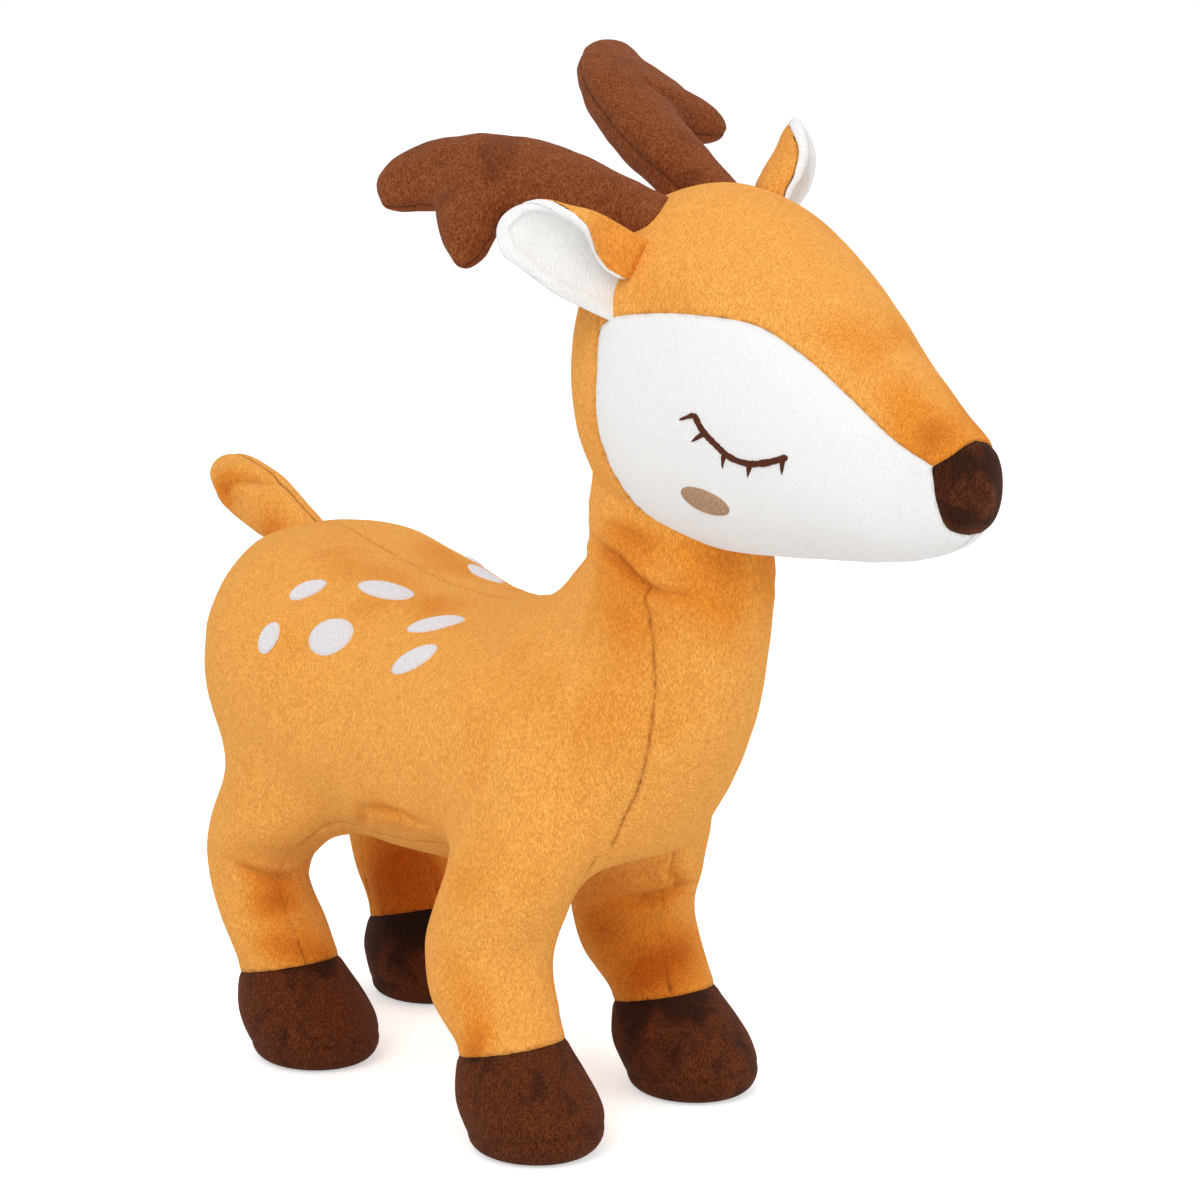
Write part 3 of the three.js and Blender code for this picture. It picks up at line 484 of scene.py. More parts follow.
class Nodes:
    """Short calls for building a node tree."""

    def __init__(self, material):
        material.use_nodes = True
        self.tree = material.node_tree
        self.tree.nodes.clear()

    def add(self, kind, inputs=None, **settings):
        node = self.tree.nodes.new(kind)
        for key, value in settings.items():
            setattr(node, key, value)
        for key, value in (inputs or {}).items():
            if isinstance(value, bpy.types.NodeSocket):
                self.tree.links.new(value, node.inputs[key])
            else:
                node.inputs[key].default_value = value
        return node

    def math(self, operation, a, b=0.0, clamp=False):
        return self.add("ShaderNodeMath", {0: a, 1: b}, operation=operation, use_clamp=clamp).outputs[0]

    def times(self, a, b):
        return self.math("MULTIPLY", a, b)

    def mix(self, share, a, b, blend="MIX"):
        return self.add("ShaderNodeMix", {0: share, 6: a, 7: b}, data_type="RGBA", blend_type=blend).outputs[2]

    def ramp(self, value, stops):
        node = self.add("ShaderNodeValToRGB", {0: value})
        points = node.color_ramp.elements
        while len(points) < len(stops):
            points.new(0.5)
        for point, (at, level) in zip(points, stops):
            point.position = at
            point.color = (level, level, level, 1)
        return node.outputs[0]

    def noise(self, vector, scale, detail=2.0, roughness=0.5, distortion=0.0):
        return self.add("ShaderNodeTexNoise", {"Vector": vector, "Scale": scale, "Detail": detail,
                                               "Roughness": roughness, "Distortion": distortion}).outputs[0]

    def stretched(self, vector, scale, turn=(0, 0, 0)):
        return self.add("ShaderNodeMapping", {"Vector": vector, "Scale": scale, "Rotation": turn}).outputs[0]

    def place(self):
        return self.add("ShaderNodeTexCoord").outputs["Object"]

    def column(self, name):
        return self.add("ShaderNodeAttribute", attribute_name=name).outputs["Fac"]

    def cloth(self, colour, level, depth, looks):
        """A surface with bumps: their level from 0 to 1 and their depth."""
        bump = self.add("ShaderNodeBump", {"Height": level, "Strength": 0.6, "Distance": depth}).outputs[0]
        surface = self.add("ShaderNodeBsdfPrincipled", {"Base Color": colour, "Normal": bump, **looks})
        self.add("ShaderNodeOutputMaterial", {"Surface": surface.outputs[0]})

    def seen_directly(self):
        """1 for what the camera sees straight or in a gloss, 0 for what only lights the scene."""
        path = self.add("ShaderNodeLightPath")
        return self.math("MAXIMUM", path.outputs["Is Camera Ray"], path.outputs["Is Glossy Ray"])


# The pile's turn and depth. Tufts, the locks that they stand in and the threads' flecks are in waves a metre.
PILE_TURN, PILE_DEPTH = (0.6, 0.45, 0), 0.0011
TUFT_WAVES, LOCK_WAVES, LOCK_SHARE = 1900, 420, 0.14
THREAD_PITCH, THREAD_DEPTH, UNEVEN_WAVES, FLECK_WAVES = 0.8, 0.0004, 500, 1500


def plush(slot, colours, tuft_shade_and_highlight, sheen, sheen_tint, patch=34, drift=1.25, name=None):
    """Short-pile cloth: fine tufts, patches where the pile is brushed the other way, painted shade, and sunk
    seams.

    The colours are those of the pile, the brushed pile, the painted shade of the deepest patches and the
    painted shade in the seams.
    """
    pile, brushed_and_shaded, deep, groove_shade = (linear(code) for code in colours)
    material = bpy.data.materials.new(f"{name or slot}_dressed")
    n = Nodes(material)
    place, brushing_and_shade = n.place(), n.column("brushing_and_shade")
    patches = n.noise(n.stretched(place, (1, 1, 0.7)), patch, 2.5, 0.5, 0.6)
    change = n.times(n.math("SUBTRACT", patches, 0.5), drift)
    # The tone column holds brushed patches and painted shade; with the noise's patches it turns the pile
    # towards the brushed colour.
    brushing_and_shade_share = n.ramp(n.math("ADD", n.times(brushing_and_shade, 0.9), change), [(0.1, 0), (0.8, 1)])
    tufts = n.noise(n.stretched(place, (1, 1, 0.4), PILE_TURN), TUFT_WAVES, 1.5, 0.6, 0.4)
    locks = n.noise(n.stretched(place, (1, 1, 0.55), PILE_TURN), LOCK_WAVES, 1, 0.5, 0.3)
    level = n.math("ADD", n.times(tufts, 1 - LOCK_SHARE), n.times(locks, LOCK_SHARE))
    colour = n.mix(brushing_and_shade_share, pile, brushed_and_shaded)
    # Painted shade: where the tone is highest, the pile turns to the deepest colour.
    colour = n.mix(n.ramp(n.times(brushing_and_shade, 0.4), [(0.36, 0), (0.75, 1)]), colour, deep)
    # Painted shade between the tufts and painted highlights on their tips, following the tufts' height.
    between = n.mix(1.0, colour, (1 - 0.62 * tuft_shade_and_highlight, 1 - tuft_shade_and_highlight, 1 - 1.25 * tuft_shade_and_highlight, 1), "MULTIPLY")
    catching = n.mix(1.0, colour, (1 + 0.6 * tuft_shade_and_highlight**2,) * 3 + (1,), "MULTIPLY")
    colour = n.mix(n.ramp(level, [(0.34, 1), (0.48, 0.45), (0.6, 0)]), colour, between)
    colour = n.mix(n.ramp(level, [(0.52, 0), (0.66, 1)]), colour, catching)
    # Painted shade in the seam grooves and fold creases, in its own darker colour.
    colour = n.mix(n.math("MULTIPLY", n.column("seam"), 0.72, clamp=True), colour, groove_shade)
    n.cloth(colour, level, PILE_DEPTH, {
        "Roughness": 0.9, "Specular IOR Level": 0.15, "Sheen Weight": sheen, "Sheen Roughness": 0.45,
        "Sheen Tint": linear(sheen_tint)})
    return slot, material, ("seam", "brushing_and_shade")


def satin(slot, thread, shadow):
    """Satin stitch: threads side by side, counted by the stitch attribute."""
    material = bpy.data.materials.new(f"{slot}_dressed")
    n = Nodes(material)
    place = n.place()
    turns = n.times(n.column("stitch"), 2 * math.pi / THREAD_PITCH)
    wave = n.math("SINE", n.math("ADD", turns, n.times(n.noise(place, UNEVEN_WAVES, 2), 4.0)))
    flecks = n.ramp(n.noise(place, FLECK_WAVES, 2, 0.6), [(0.35, 0), (0.65, 1)])
    raised = n.math("ADD", n.times(wave, 0.5), 0.5)
    level = n.math("ADD", n.times(raised, 0.5), n.times(flecks, 0.5))
    n.cloth(n.mix(level, linear(shadow), linear(thread)), level, THREAD_DEPTH, {
        "Roughness": 0.65, "Specular IOR Level": 0.12})
    return slot, material, ("stitch",)


# The third colour of each cloth is its painted shade in the deepest patches, the fourth its painted shade in
# the seams.
ORANGE = plush("orange_plush", ("f8b155", "ec9533", "c46412", "7c3a0e"), 0.38, 0.35, "ffc070")
WHITE = plush("white_plush", ("f4f4f3", "f1f0ef", "dddad6", "b8aea6"), 0.04, 0.12, "ffffff")
BROWN = plush("brown_plush", ("5e3016", "341808", "241006", "1a0b04"), 0.8, 0.15, "a07a60",
              patch=85, drift=3.1)
ANTLER = plush("brown_plush", ("8a4e29", "5f3216", "3a1c0c", "2c1407"), 0.7, 0.2, "b08a70",
               patch=60, drift=1.8, name="antler_plush")
SPOT_THREAD = satin("spot_thread", "f6f4f5", "d3ced2")
EYE_THREAD = satin("eye_thread", "683520", "3a190c")
BLUSH_THREAD = satin("blush_thread", "cfa98b", "8a674d")


# The body: torso, neck and legs in one skin, melted together where they join.
FINE_VOXEL, QUICK_VOXEL = 1.5, 2.6
JOIN_REACH, THROAT_REACH = 12, 22
VOXEL = FINE_VOXEL
torso, neck, nape = stuffed(TORSO, 110, 96), stuffed(NECK, 60, 72), stuffed(NAPE, 40, 48)
legs = [leg_solid(name) for name in LEGS]
points, faces = skin([torso, neck, nape, *legs], VOXEL)
gaps = np.stack([distance_to(tree_of(*solid), points) for solid in (torso, neck, *legs)], 1)
throat = bell(gaps[:, :2].max(1), THROAT_REACH)
joining = bell(np.sort(gaps, axis=1)[:, 1], JOIN_REACH)
# The weight, the steps for a fine skin and the fewest steps: all over, where solids join, and at the throat.
SMOOTHING = ((0.4, 8, 2), (0.5 * joining, 130, 6), (0.5 * throat, 160, 6))
for weight, steps, fewest in SMOOTHING:
    points = relaxed(points, faces, weight, max(fewest, int(steps * (FINE_VOXEL / VOXEL) ** 2)))
points[:, 2] = np.maximum(points[:, 2], SOLE_FLAT)
normals = normals_of(points, faces)

SOLE_TILT, HOOF_TILT = 6, 14
LEG_CUT_TOP, FAR_ABOVE = 70, 40.0


def leg_field(points, height, tilt):
    """How far points lie above the seam of the leg nearest to them. The seam rises forwards."""
    field = np.full(len(points), FAR_ABOVE)
    nearest = np.full(len(points), np.inf)
    for name in LEGS:
        rows = leg_rows(name)
        x, y = (np.interp(points[:, 2], rows[:, 0], rows[:, k]) for k in (1, 2))
        far = np.hypot(points[:, 0] - x, points[:, 1] - y)
        middle = rows[rows[:, 0] >= height][0][2]
        seam = height - math.tan(math.radians(tilt)) * (points[:, 1] - middle)
        closer = far < nearest
        field[closer] = (points[:, 2] - seam)[closer]
        nearest[closer] = far[closer]
    return np.where(points[:, 2] > LEG_CUT_TOP, FAR_ABOVE, field)


CHEST_BOTTOM = BELLY_HEIGHT + 0.2 * TORSO_HEIGHT
CHEST_SEAM_SHARES = [(0.33, 1.1), (0.33, 0.66), (0.305, 0.54), (0.305, 0.4), (0.355, 0.27), (0.455, 0.165),
                     (0.62, 0.06), (0.69, 0), (0.72, -0.1)]
CHEST_WIDTH_SHARES = [(1.5, 1.1), (1.5, 0.36), (1.24, 0.27), (1, 0.17), (0.86, 0.06), (0.86, -0.1)]
BELLY_SEAM_SHARES = [(0.02, 0.35), (0.1, 0.62), (0.22, 0.72), (0.4, 0.93), (0.58, 0.97), (0.74, 1.1),
                     (0.88, 0.95), (0.96, 0.3)]
BELLY_WIDTH, SEAM_ROUNDING = 82, 3.5


def chest_field(points):
    """Before a seam in the side view and within one in the front view, rounded where the two meet."""
    height = lambda share: CHEST_BOTTOM + share * (NECK_TOP - CHEST_BOTTOM)
    seam = smooth_line([(-THROAT_PROUD + a * NECK_DEPTH, height(b)) for a, b in CHEST_SEAM_SHARES])[::-1]
    edge = smooth_line([(a * NECK_WIDTH / 2, height(b)) for a, b in CHEST_WIDTH_SHARES])[::-1]
    behind = points[:, 1] - np.interp(points[:, 2], seam[:, 1], seam[:, 0])
    beside = np.abs(points[:, 0]) - np.interp(points[:, 2], edge[:, 1], edge[:, 0])
    below = height(-0.1) - points[:, 2]
    return np.maximum(np.logaddexp(behind / SEAM_ROUNDING, beside / SEAM_ROUNDING) * SEAM_ROUNDING, below)


def belly_field(points):
    right = smooth_line([(b * BELLY_WIDTH / 2, a * TORSO_LENGTH) for a, b in BELLY_SEAM_SHARES])
    return np.maximum(outline_distance(mirrored(right), points[:, :2]), points[:, 2] - CHEST_BOTTOM)


def body_panels(points, faces):
    """The body's cloth, cut along its seams: {name: mesh}."""
    panels = {}
    soles, rest = split((points, faces), leg_field(points, SOLE_HEIGHT, SOLE_TILT))
    hooves, rest = split(rest, leg_field(rest[0], HOOF_HEIGHT, HOOF_TILT))
    feet = [leg_rows(name)[1, 1:3] for name in LEGS]
    for number, name in enumerate(LEGS):
        for kind, (found, triangles) in (("sole", soles), ("hoof", hooves)):
            middle = found[triangles].mean(1)[:, :2]
            own = np.stack([np.hypot(*(middle - foot).T) for foot in feet], 1).argmin(1) == number
            panels[f"{kind}_{name}"] = packed(found, triangles[own])
    panels["belly_panel"], rest = split(rest, belly_field(rest[0]))
    panels["chest_panel"], rest = split(rest, chest_field(rest[0]))
    panels["body_side_right"], panels["body_side_left"] = split(rest, rest[0][:, 0])
    return panels


def seams_of(panels):
    return np.vstack([border(mesh) for mesh in panels.values()])


def lumpy(points, waves):
    """How far uneven filling pushes the cloth out: noises of a height, a size and a seed."""
    return sum(height * noise_at(points, size, seed) for height, size, seed in waves)


# A seam's depth and half width, how much its depth varies, over what length, and the half width of its line of
# painted shade.
SEAM_DEPTH, SEAM_WIDTH, SEAM_VARIATION, SEAM_WAVE, SEAM_LINE = 0.8, 1.5, 0.35, 5, 0.5


def valleys(plain, normals, lumps, lines, strength, depth=SEAM_DEPTH, width=SEAM_WIDTH):
    """The cloth pushed out by its lumps and sunk towards its seam lines, with the columns of cloth, the first
    of them painted shade along the seam lines.
    """
    points = plain + normals * lumps[:, None]
    far, number = far_from(lines, points)
    near = (strength * np.ones(len(lines)))[number]
    uneven = 1 + SEAM_VARIATION * noise_at(points, SEAM_WAVE, 3)
    sunk = near * depth * (uneven * bell(far, width) + 0.5 * bell(far, 4 * width))
    shade = near * bell(far, SEAM_LINE)
    return np.column_stack([points - normals * sunk[:, None], shade, np.zeros(len(points)), near])


FOLD_STEP, FOLD_MARGIN, FOLD_SHADE = 0.8, 14, 0.3


def folded(columns, plain, normals, folds, amount=1):
    """Sinks the cloth along folds, plump on both sides, with painted shade in them: (points of the line, depth,
    width).
    """
    amount = amount * np.ones(len(columns))
    for line, depth, width in folds:
        line = smooth_line(line, FOLD_STEP)
        around = ((plain > line.min(0) - FOLD_MARGIN) & (plain < line.max(0) + FOLD_MARGIN)).all(1)
        far, number = far_from(line, plain[around])
        share = amount[around] * np.sin(math.pi * np.clip(number / (len(line) - 1), 0.02, 0.98)) ** 0.5
        sunk = bell(far, width) - 0.35 * bell(far - 2.4 * width, 1.3 * width)
        columns[around, :3] -= normals[around] * (depth * share * sunk)[:, None]
        # Painted shade: a dark line along the crease, and a deeper tone of brushed pile and painted shade
        # beside it.
        columns[around, SEAM_SHADE] += FOLD_SHADE * share * bell(far, 0.45 * width)
        columns[around, BRUSHING_AND_SHADE] += FOLD_SHADE * share * bell(far, 1.6 * width)


def brushed_and_shaded(columns, plain, blobs):
    """Adds patches of brushed pile and painted shade to the tone: (x, y, z, radius, strength)."""
    for x, y, z, radius, strength in blobs:
        columns[:, BRUSHING_AND_SHADE] += strength * bell(np.linalg.norm(plain - (x, y, z), axis=1), radius)


def one_side(points):
    """Points with their left half laid over the right one, for what is alike on both sides."""
    return np.column_stack([-np.abs(points[:, 0]), points[:, 1:3]])


def shaped(cut, points, columns, faces):
    """The shaped cloth's panels. Its seams were found on the plain skin, so the plain positions cut it too."""
    pieces = cut(np.column_stack([points, columns]), faces)
    return {name: (mesh[0][:, 3:], mesh[1]) for name, mesh in pieces.items()}


def dress_panels(panels):
    """The panels of the body or the head, which move with the root."""
    for name, mesh in panels.items():
        dark, pale = name.startswith(("hoof", "sole", "nose")), name.startswith("cheek")
        cloth = BROWN if dark else WHITE if pale else ORANGE
        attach(dress(name, with_skirt(mesh, BODY_ALLOWANCE), cloth), "root")


# Folds of both sides and of single legs, and patches of brushed pile and painted shade, with x below 0 on the
# right.
BODY_FOLDS = [
    ([(-20, 52, 220), (-25, 46, 219), (-28, 38, 217), (-29, 29, 215), (-29, 23, 211), (-28, 17, 207),
      (-26, 12, 205), (-22, 5, 204), (-17, 0, 204)], 3.4, 1.8),
    ([(-27, 39, 225), (-28, 26, 225), (-27, 17, 223)], 1.2, 2),
    ([(-26, 50, 215), (-20, 58, 215), (-10, 64, 216), (0, 66, 216), (10, 64, 216)], 2.6, 12),
    ([(-52, 143, 111), (-46, 148, 104), (-40, 158, 98)], 1.8, 1.9),
    ([(-50, 145, 108), (-51, 128, 111), (-45, 110, 108)], 1.4, 2),
    ([(-58, 208, 116), (-59, 197, 117)], 1.2, 2.2),
]
LEG_FOLDS = [
    ([(19, 87, 74), (28, 71, 75), (37, 67, 77), (46, 69, 78)], 3.2, 2.4),
    ([(31, 65, 86), (34, 66, 82), (39, 67, 76)], 2, 2),
    ([(-58, 216, 76), (-52, 206, 71), (-40, 201, 69), (-33, 200, 71), (-27, 203, 76)], 3, 2.2),
]
BODY_BLOBS = [
    (-28, 25, 220, 13, 0.8), (-28, 16, 201, 18, 0.45), (-16, -1, 203, 16, 0.4), (-10, -4, 213, 13, 0.6),
    (-29, 35, 205, 12, 0.4), (-2, -6, 202, 14, 0.3), (-31, 29, 185, 18, 0.35), (-37, 32, 157, 22, 0.3),
    (-22, 186, 190, 12, 0.6), (-14, 166, 187, 14, 0.8), (-21, 137, 182, 12, 0.6), (-35, 158, 179, 10, 0.5),
    (-48, 129, 107, 10, 0.5), (-55, 103, 130, 8, 0.4),
    (-27, 15, 223, 7, 0.5), (-20, 5, 221, 7, 0.5), (-12, -2, 219, 7, 0.4), (-5, -5, 217, 7, 0.3),
    (-29, 45, 190, 9, 0.3), (-30, 25, 192, 9, 0.35),
]
LEG_BLOBS = [
    (-46, 196, 50, 20, 0.4), (-50, 204, 62, 8, 1), (-43, 201, 61, 6, 0.8), (-52, 195, 46, 8, 0.8),
    (-44, 190, 42, 7, 0.9), (-34, 187, 40, 7, 1.1), (-54, 209, 75, 7, 0.5),
    (-62, 69, 53, 9, 0.6), (-64, 66, 36, 7, 1.2), (-63, 63, 44, 6, 0.8), (-63, 78, 66, 9, 0.35),
    (-61, 76, 92, 10, 0.4), (26, 75, 60, 26, 0.9), (19, 92, 62, 11, 0.8), (27, 74, 48, 10, 0.7),
    (38, 68, 52, 9, 0.7), (47, 70, 54, 12, 0.4),
    (24, 76, 40, 11, 0.7), (31, 71, 76, 9, 0.3), (36, 68, 36, 9, 0.6),
    (34, 224, 53, 26, 1.8), (35, 219, 41, 16, 1.2), (41, 60, 18, 28, 0.45), (46, 225, 18, 28, 0.5),
]
FAR_SIDE_FOLDING = 0.35
CHEST_FADE_TOP, CHEST_FADE = 212, 12
BODY_SEAM_DEPTH, BODY_SEAM_WIDTH, BODY_FILL, HEAD_FILL = 0.7, 1.4, 0.85, 0.9
LUMPS, LUMPS_FROM, LUMPS_RUN = [(0.55, 26, 1), (0.3, 11, 2)], 4, 12


def body_seam_strength(lines):
    """How deep each seam point lies: the chest's lower edge and the upper neck are nearly flat."""
    x, y, z = np.abs(lines[:, 0]), lines[:, 1], lines[:, 2]
    front = y < 60
    strength = np.full(len(lines), 0.55)
    strength[z < BELLY_HEIGHT] = 0.28
    strength[z < HOOF_HEIGHT + 12] = 0.8
    strength[z < SOLE_HEIGHT + 6] = 0.4
    strength[x < 1] = 0.7
    chest = (y < 45) & (z > CHEST_BOTTOM + 3)
    strength[chest] = 0.04 + 0.8 * np.clip((CHEST_FADE_TOP - z[chest]) / CHEST_FADE, 0, 1)
    strength[(x < 22) & front & (z < CHEST_BOTTOM + 8) & (z > CHEST_BOTTOM - 14)] = 0.12
    strength[(x < 36) & front & (np.abs(z - CHEST_BOTTOM) < 1.5)] = 0.05
    return strength


seams = seams_of(body_panels(points, faces))
seams = seams[seams[:, 2] > SOLE_FLAT + 0.2]
lumps = lumpy(points, LUMPS) * np.clip((points[:, 2] - LUMPS_FROM) / LUMPS_RUN, 0, 1)
columns = valleys(points, normals, lumps, seams, body_seam_strength(seams), BODY_SEAM_DEPTH, BODY_SEAM_WIDTH)
folded(columns, one_side(points), normals, BODY_FOLDS, np.where(points[:, 0] > 0, FAR_SIDE_FOLDING, 1))
folded(columns, points, normals, LEG_FOLDS)
brushed_and_shaded(columns, one_side(points), BODY_BLOBS)
brushed_and_shaded(columns, points, LEG_BLOBS)
columns[:, 2] = np.maximum(columns[:, 2], SOLE_FLAT)
dress_panels(shaped(body_panels, points, columns, faces))
body_tree = tree_of(columns, faces)

# The head: cheeks, top, backs and nose. The nose's outline is in millimetres across and shares of the height.
NOSE_SEAM = [(0, 0.404), (5, 0.394), (9.5, 0.374), (13.8, 0.346), (14.8, 0.337), (15.2, 0.305), (14.9, 0.255),
             (12.8, 0.2), (10, 0.168), (5.5, 0.152), (0, 0.147)]
CHEEK_TOP_SHARES = [(0.215, 0.62), (0.25, 0.65), (0.35, 0.675), (0.464, 0.685), (0.582, 0.669), (0.662, 0.611),
                    (0.762, 0.505), (0.863, 0.395), (0.93, 0.34)]
CHEEK_BACK_SHARES = [(0.212, 0.59), (0.21, 0.46), (0.205, 0.33), (0.235, 0.16), (0.3, 0.02), (0.32, -0.1)]
NOSE_BACK_SHARE, TOP_SEAM_SHARES, TOP_SEAM_RUN = 0.8, (0.205, 0.6), 60
HEAD_SEAM_STRENGTH, HEAD_LUMPS = 0.6, [(0.5, 30, 5), (0.25, 12, 6)]


def nose_field(points):
    """The nose is cut as seen from the front: straight at the top, rounded below."""
    right = smooth_line([(-x, in_box(HEAD_BOX, [(1, share)])[0][1]) for x, share in NOSE_SEAM])
    (back, _), = in_box(HEAD_BOX, [(NOSE_BACK_SHARE, 0)])
    return np.maximum(outline_distance(mirrored(right), points[:, [0, 2]]), points[:, 1] - back)


def cheek_field(points):
    top = smooth_line(in_box(HEAD_BOX, CHEEK_TOP_SHARES))
    back = smooth_line(in_box(HEAD_BOX, CHEEK_BACK_SHARES))
    ends = np.array(in_box(HEAD_BOX, [(1.1, 0.3), (1.1, -0.1)]))
    return outline_distance(np.vstack([top, ends, back[::-1]]), points[:, 1:3])


def top_field(points):
    (back, low), = in_box(HEAD_BOX, [TOP_SEAM_SHARES])
    slope = HEAD_HEIGHT / (HEAD_LENGTH + TOP_SEAM_RUN)
    return np.maximum(points[:, 1] - back, (low - slope * (back - points[:, 1])) - points[:, 2])


def head_panels(points, faces):
    panels = {}
    panels["nose"], rest = split((points, faces), nose_field(points))
    cheeks, rest = split(rest, cheek_field(rest[0]))
    panels["cheek_right"], panels["cheek_left"] = split(cheeks, cheeks[0][:, 0])
    panels["head_top"], rest = split(rest, top_field(rest[0]))
    panels["head_back_right"], panels["head_back_left"] = split(rest, rest[0][:, 0])
    return {name: biggest(mesh) for name, mesh in panels.items()}


# Patches of brushed pile and painted shade on the head.
HEAD_BLOBS = [
    (-20, -24, 326, 10, 0.4), (-12, -43, 319, 12, 0.3), (-39, 1, 306, 10, 0.5), (-9, -100, 268, 11, 1.5),
    (-10, -87, 280, 10, 0.5), (-1, -69, 299, 20, 0.3), (-38, 31, 262, 12, 0.4), (-37, -17, 307, 9, 0.3),
    (-11, -66, 300, 10, 0.4), (-5, -112, 250, 16, 0.6),
]
HEAD_RINGS, HEAD_SIDES = ((150, 200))
points, faces = stuffed(HEAD, HEAD_RINGS, HEAD_SIDES)
normals = normals_of(points, faces)
seams = seams_of(head_panels(points, faces))
columns = valleys(points, normals, lumpy(points, HEAD_LUMPS), seams, HEAD_SEAM_STRENGTH)
brushed_and_shaded(columns, one_side(points), HEAD_BLOBS)
dress_panels(shaped(head_panels, points, columns, faces))
head_tree = tree_of(columns, faces)

# Embroidery: raised pads of thread laid on the cloth.
RAY_START, OVAL_SUNK, OVAL_HEIGHT, THREAD_SUNK, THREAD_HEIGHT = 400, 0.5, 1.5, 0.35, 1.25


def on_cloth(tree, start, direction):
    """Points and normals where rays from far outside meet the cloth."""
    out = []
    for p in start:
        hit, normal, _, _ = tree.ray_cast(Vector(p), Vector(direction))
        if hit is None:
            hit, normal, _, _ = tree.find_nearest(Vector(p))
        out.append((*hit, *normal))
    return np.array(out)


def seen_from(side, lift=0.0):
    """A view of one side, from an angle above: its two axes and the direction outwards."""
    c, s = math.cos(lift), math.sin(lift)
    return np.array([0, 1, 0]), np.array([-side * s, 0, c]), np.array([side * c, 0, s])


def cell(p, q, row):
    """The two triangles between neighbours p and q and the same places in the next row."""
    return [(p, p + row, q + row), (p, q + row, q)]


def pad(tree, flat, lift, stitch, faces, view):
    """A pad from flat points in a view, each raised by its lift above the cloth, with its stitches counted."""
    right, up, outwards = view
    hits = on_cloth(tree, flat[:, :1] * right + flat[:, 1:2] * up + RAY_START * outwards, -outwards)
    points, faces = hits[:, :3] + hits[:, 3:] * lift[:, None], np.array(faces)
    if (normals_of(points, faces) @ outwards).mean() < 0:
        faces = faces[:, ::-1]
    return np.column_stack([points, stitch]), faces


def oval_pad(tree, centre, length, height, tilt, view, rings=9, sides=48):
    c, s = math.cos(math.radians(tilt)), math.sin(math.radians(tilt))
    turn = np.linspace(0, 2 * math.pi, sides, endpoint=False)
    radii = np.r_[np.linspace(0, 0.97, rings)[1:], 1.0]
    a = np.r_[0, (radii[:, None] * np.cos(turn) * length / 2).reshape(-1)]
    b = np.r_[0, (radii[:, None] * np.sin(turn) * height / 2).reshape(-1)]
    flat = np.stack([centre[0] - a * c + b * s, centre[1] + a * s + b * c], 1)
    lift = -OVAL_SUNK + OVAL_HEIGHT * np.clip(1 - np.r_[0, np.repeat(radii, sides)] ** 6, 0, 1) ** 0.5
    faces = [(0, 1 + i, 1 + (i + 1) % sides) for i in range(sides)]
    for start in range(1, 1 + (len(radii) - 1) * sides, sides):
        for i in range(sides):
            faces += cell(start + i, start + (i + 1) % sides, sides)
    return pad(tree, flat, lift, a, faces, view)


# Each spot's place as shares of the torso, then its length, height and tilt.
SPOTS = {
    "rear_top": ((0.711, 0.7, 0.852), 14.5, 8.5, 54),
    "middle": ((0.622, 0.815, 0.74), 18.5, 16.5, 25),
    "rear": ((0.722, 0.91, 0.695), 13, 9.5, 88),
    "top": ((0.612, 0.44, 0.862), 24, 9.5, 4),
    "front_top": ((0.475, 0.5, 0.791), 23, 8.5, 28),
    "front": ((0.46, 0.71, 0.704), 20, 10, 44),
}
SPOT_LIFT = math.radians(40)
for side_name, side in SIDES.items():
    for place, ((along, across, high), length, height, tilt) in SPOTS.items():
        out, up = across * TORSO_WIDTH / 2, BELLY_HEIGHT + high * TORSO_HEIGHT
        centre = (along * TORSO_LENGTH, up * math.cos(SPOT_LIFT) - out * math.sin(SPOT_LIFT))
        mesh = oval_pad(body_tree, centre, length, height, tilt, seen_from(side, SPOT_LIFT))
        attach(dress(f"spot_{place}_{side_name}", mesh, SPOT_THREAD), "root")

# The eye line, its lashes and the blush mark in the side view, as y and z.
EYE_LINE = [(-22.7, 271.8), (-25.7, 266.5), (-30.7, 261.9), (-35.2, 258.6), (-41.9, 256.9), (-49.1, 257.7),
            (-57.9, 260.5)]
LASHES = [
    ((-22.9, 271.4), (-16.2, 269)), ((-26.3, 265.6), (-20.6, 262)), ((-33.6, 259.7), (-31.6, 254)),
    ((-43.3, 257), (-41.2, 252)), ((-56, 260), (-54.9, 254.2)),
]
EYE_THREAD_WIDTH, EYE_POINT, LASH_WIDTH, LASH_POINT = 2.7, 0.95, 2.5, 0.25
BLUSH_CENTRE, BLUSH_LENGTH, BLUSH_HEIGHT, BLUSH_TILT = (-19.3, 241.2), 20.5, 9.5, -8
STRIP_STEPS = 8


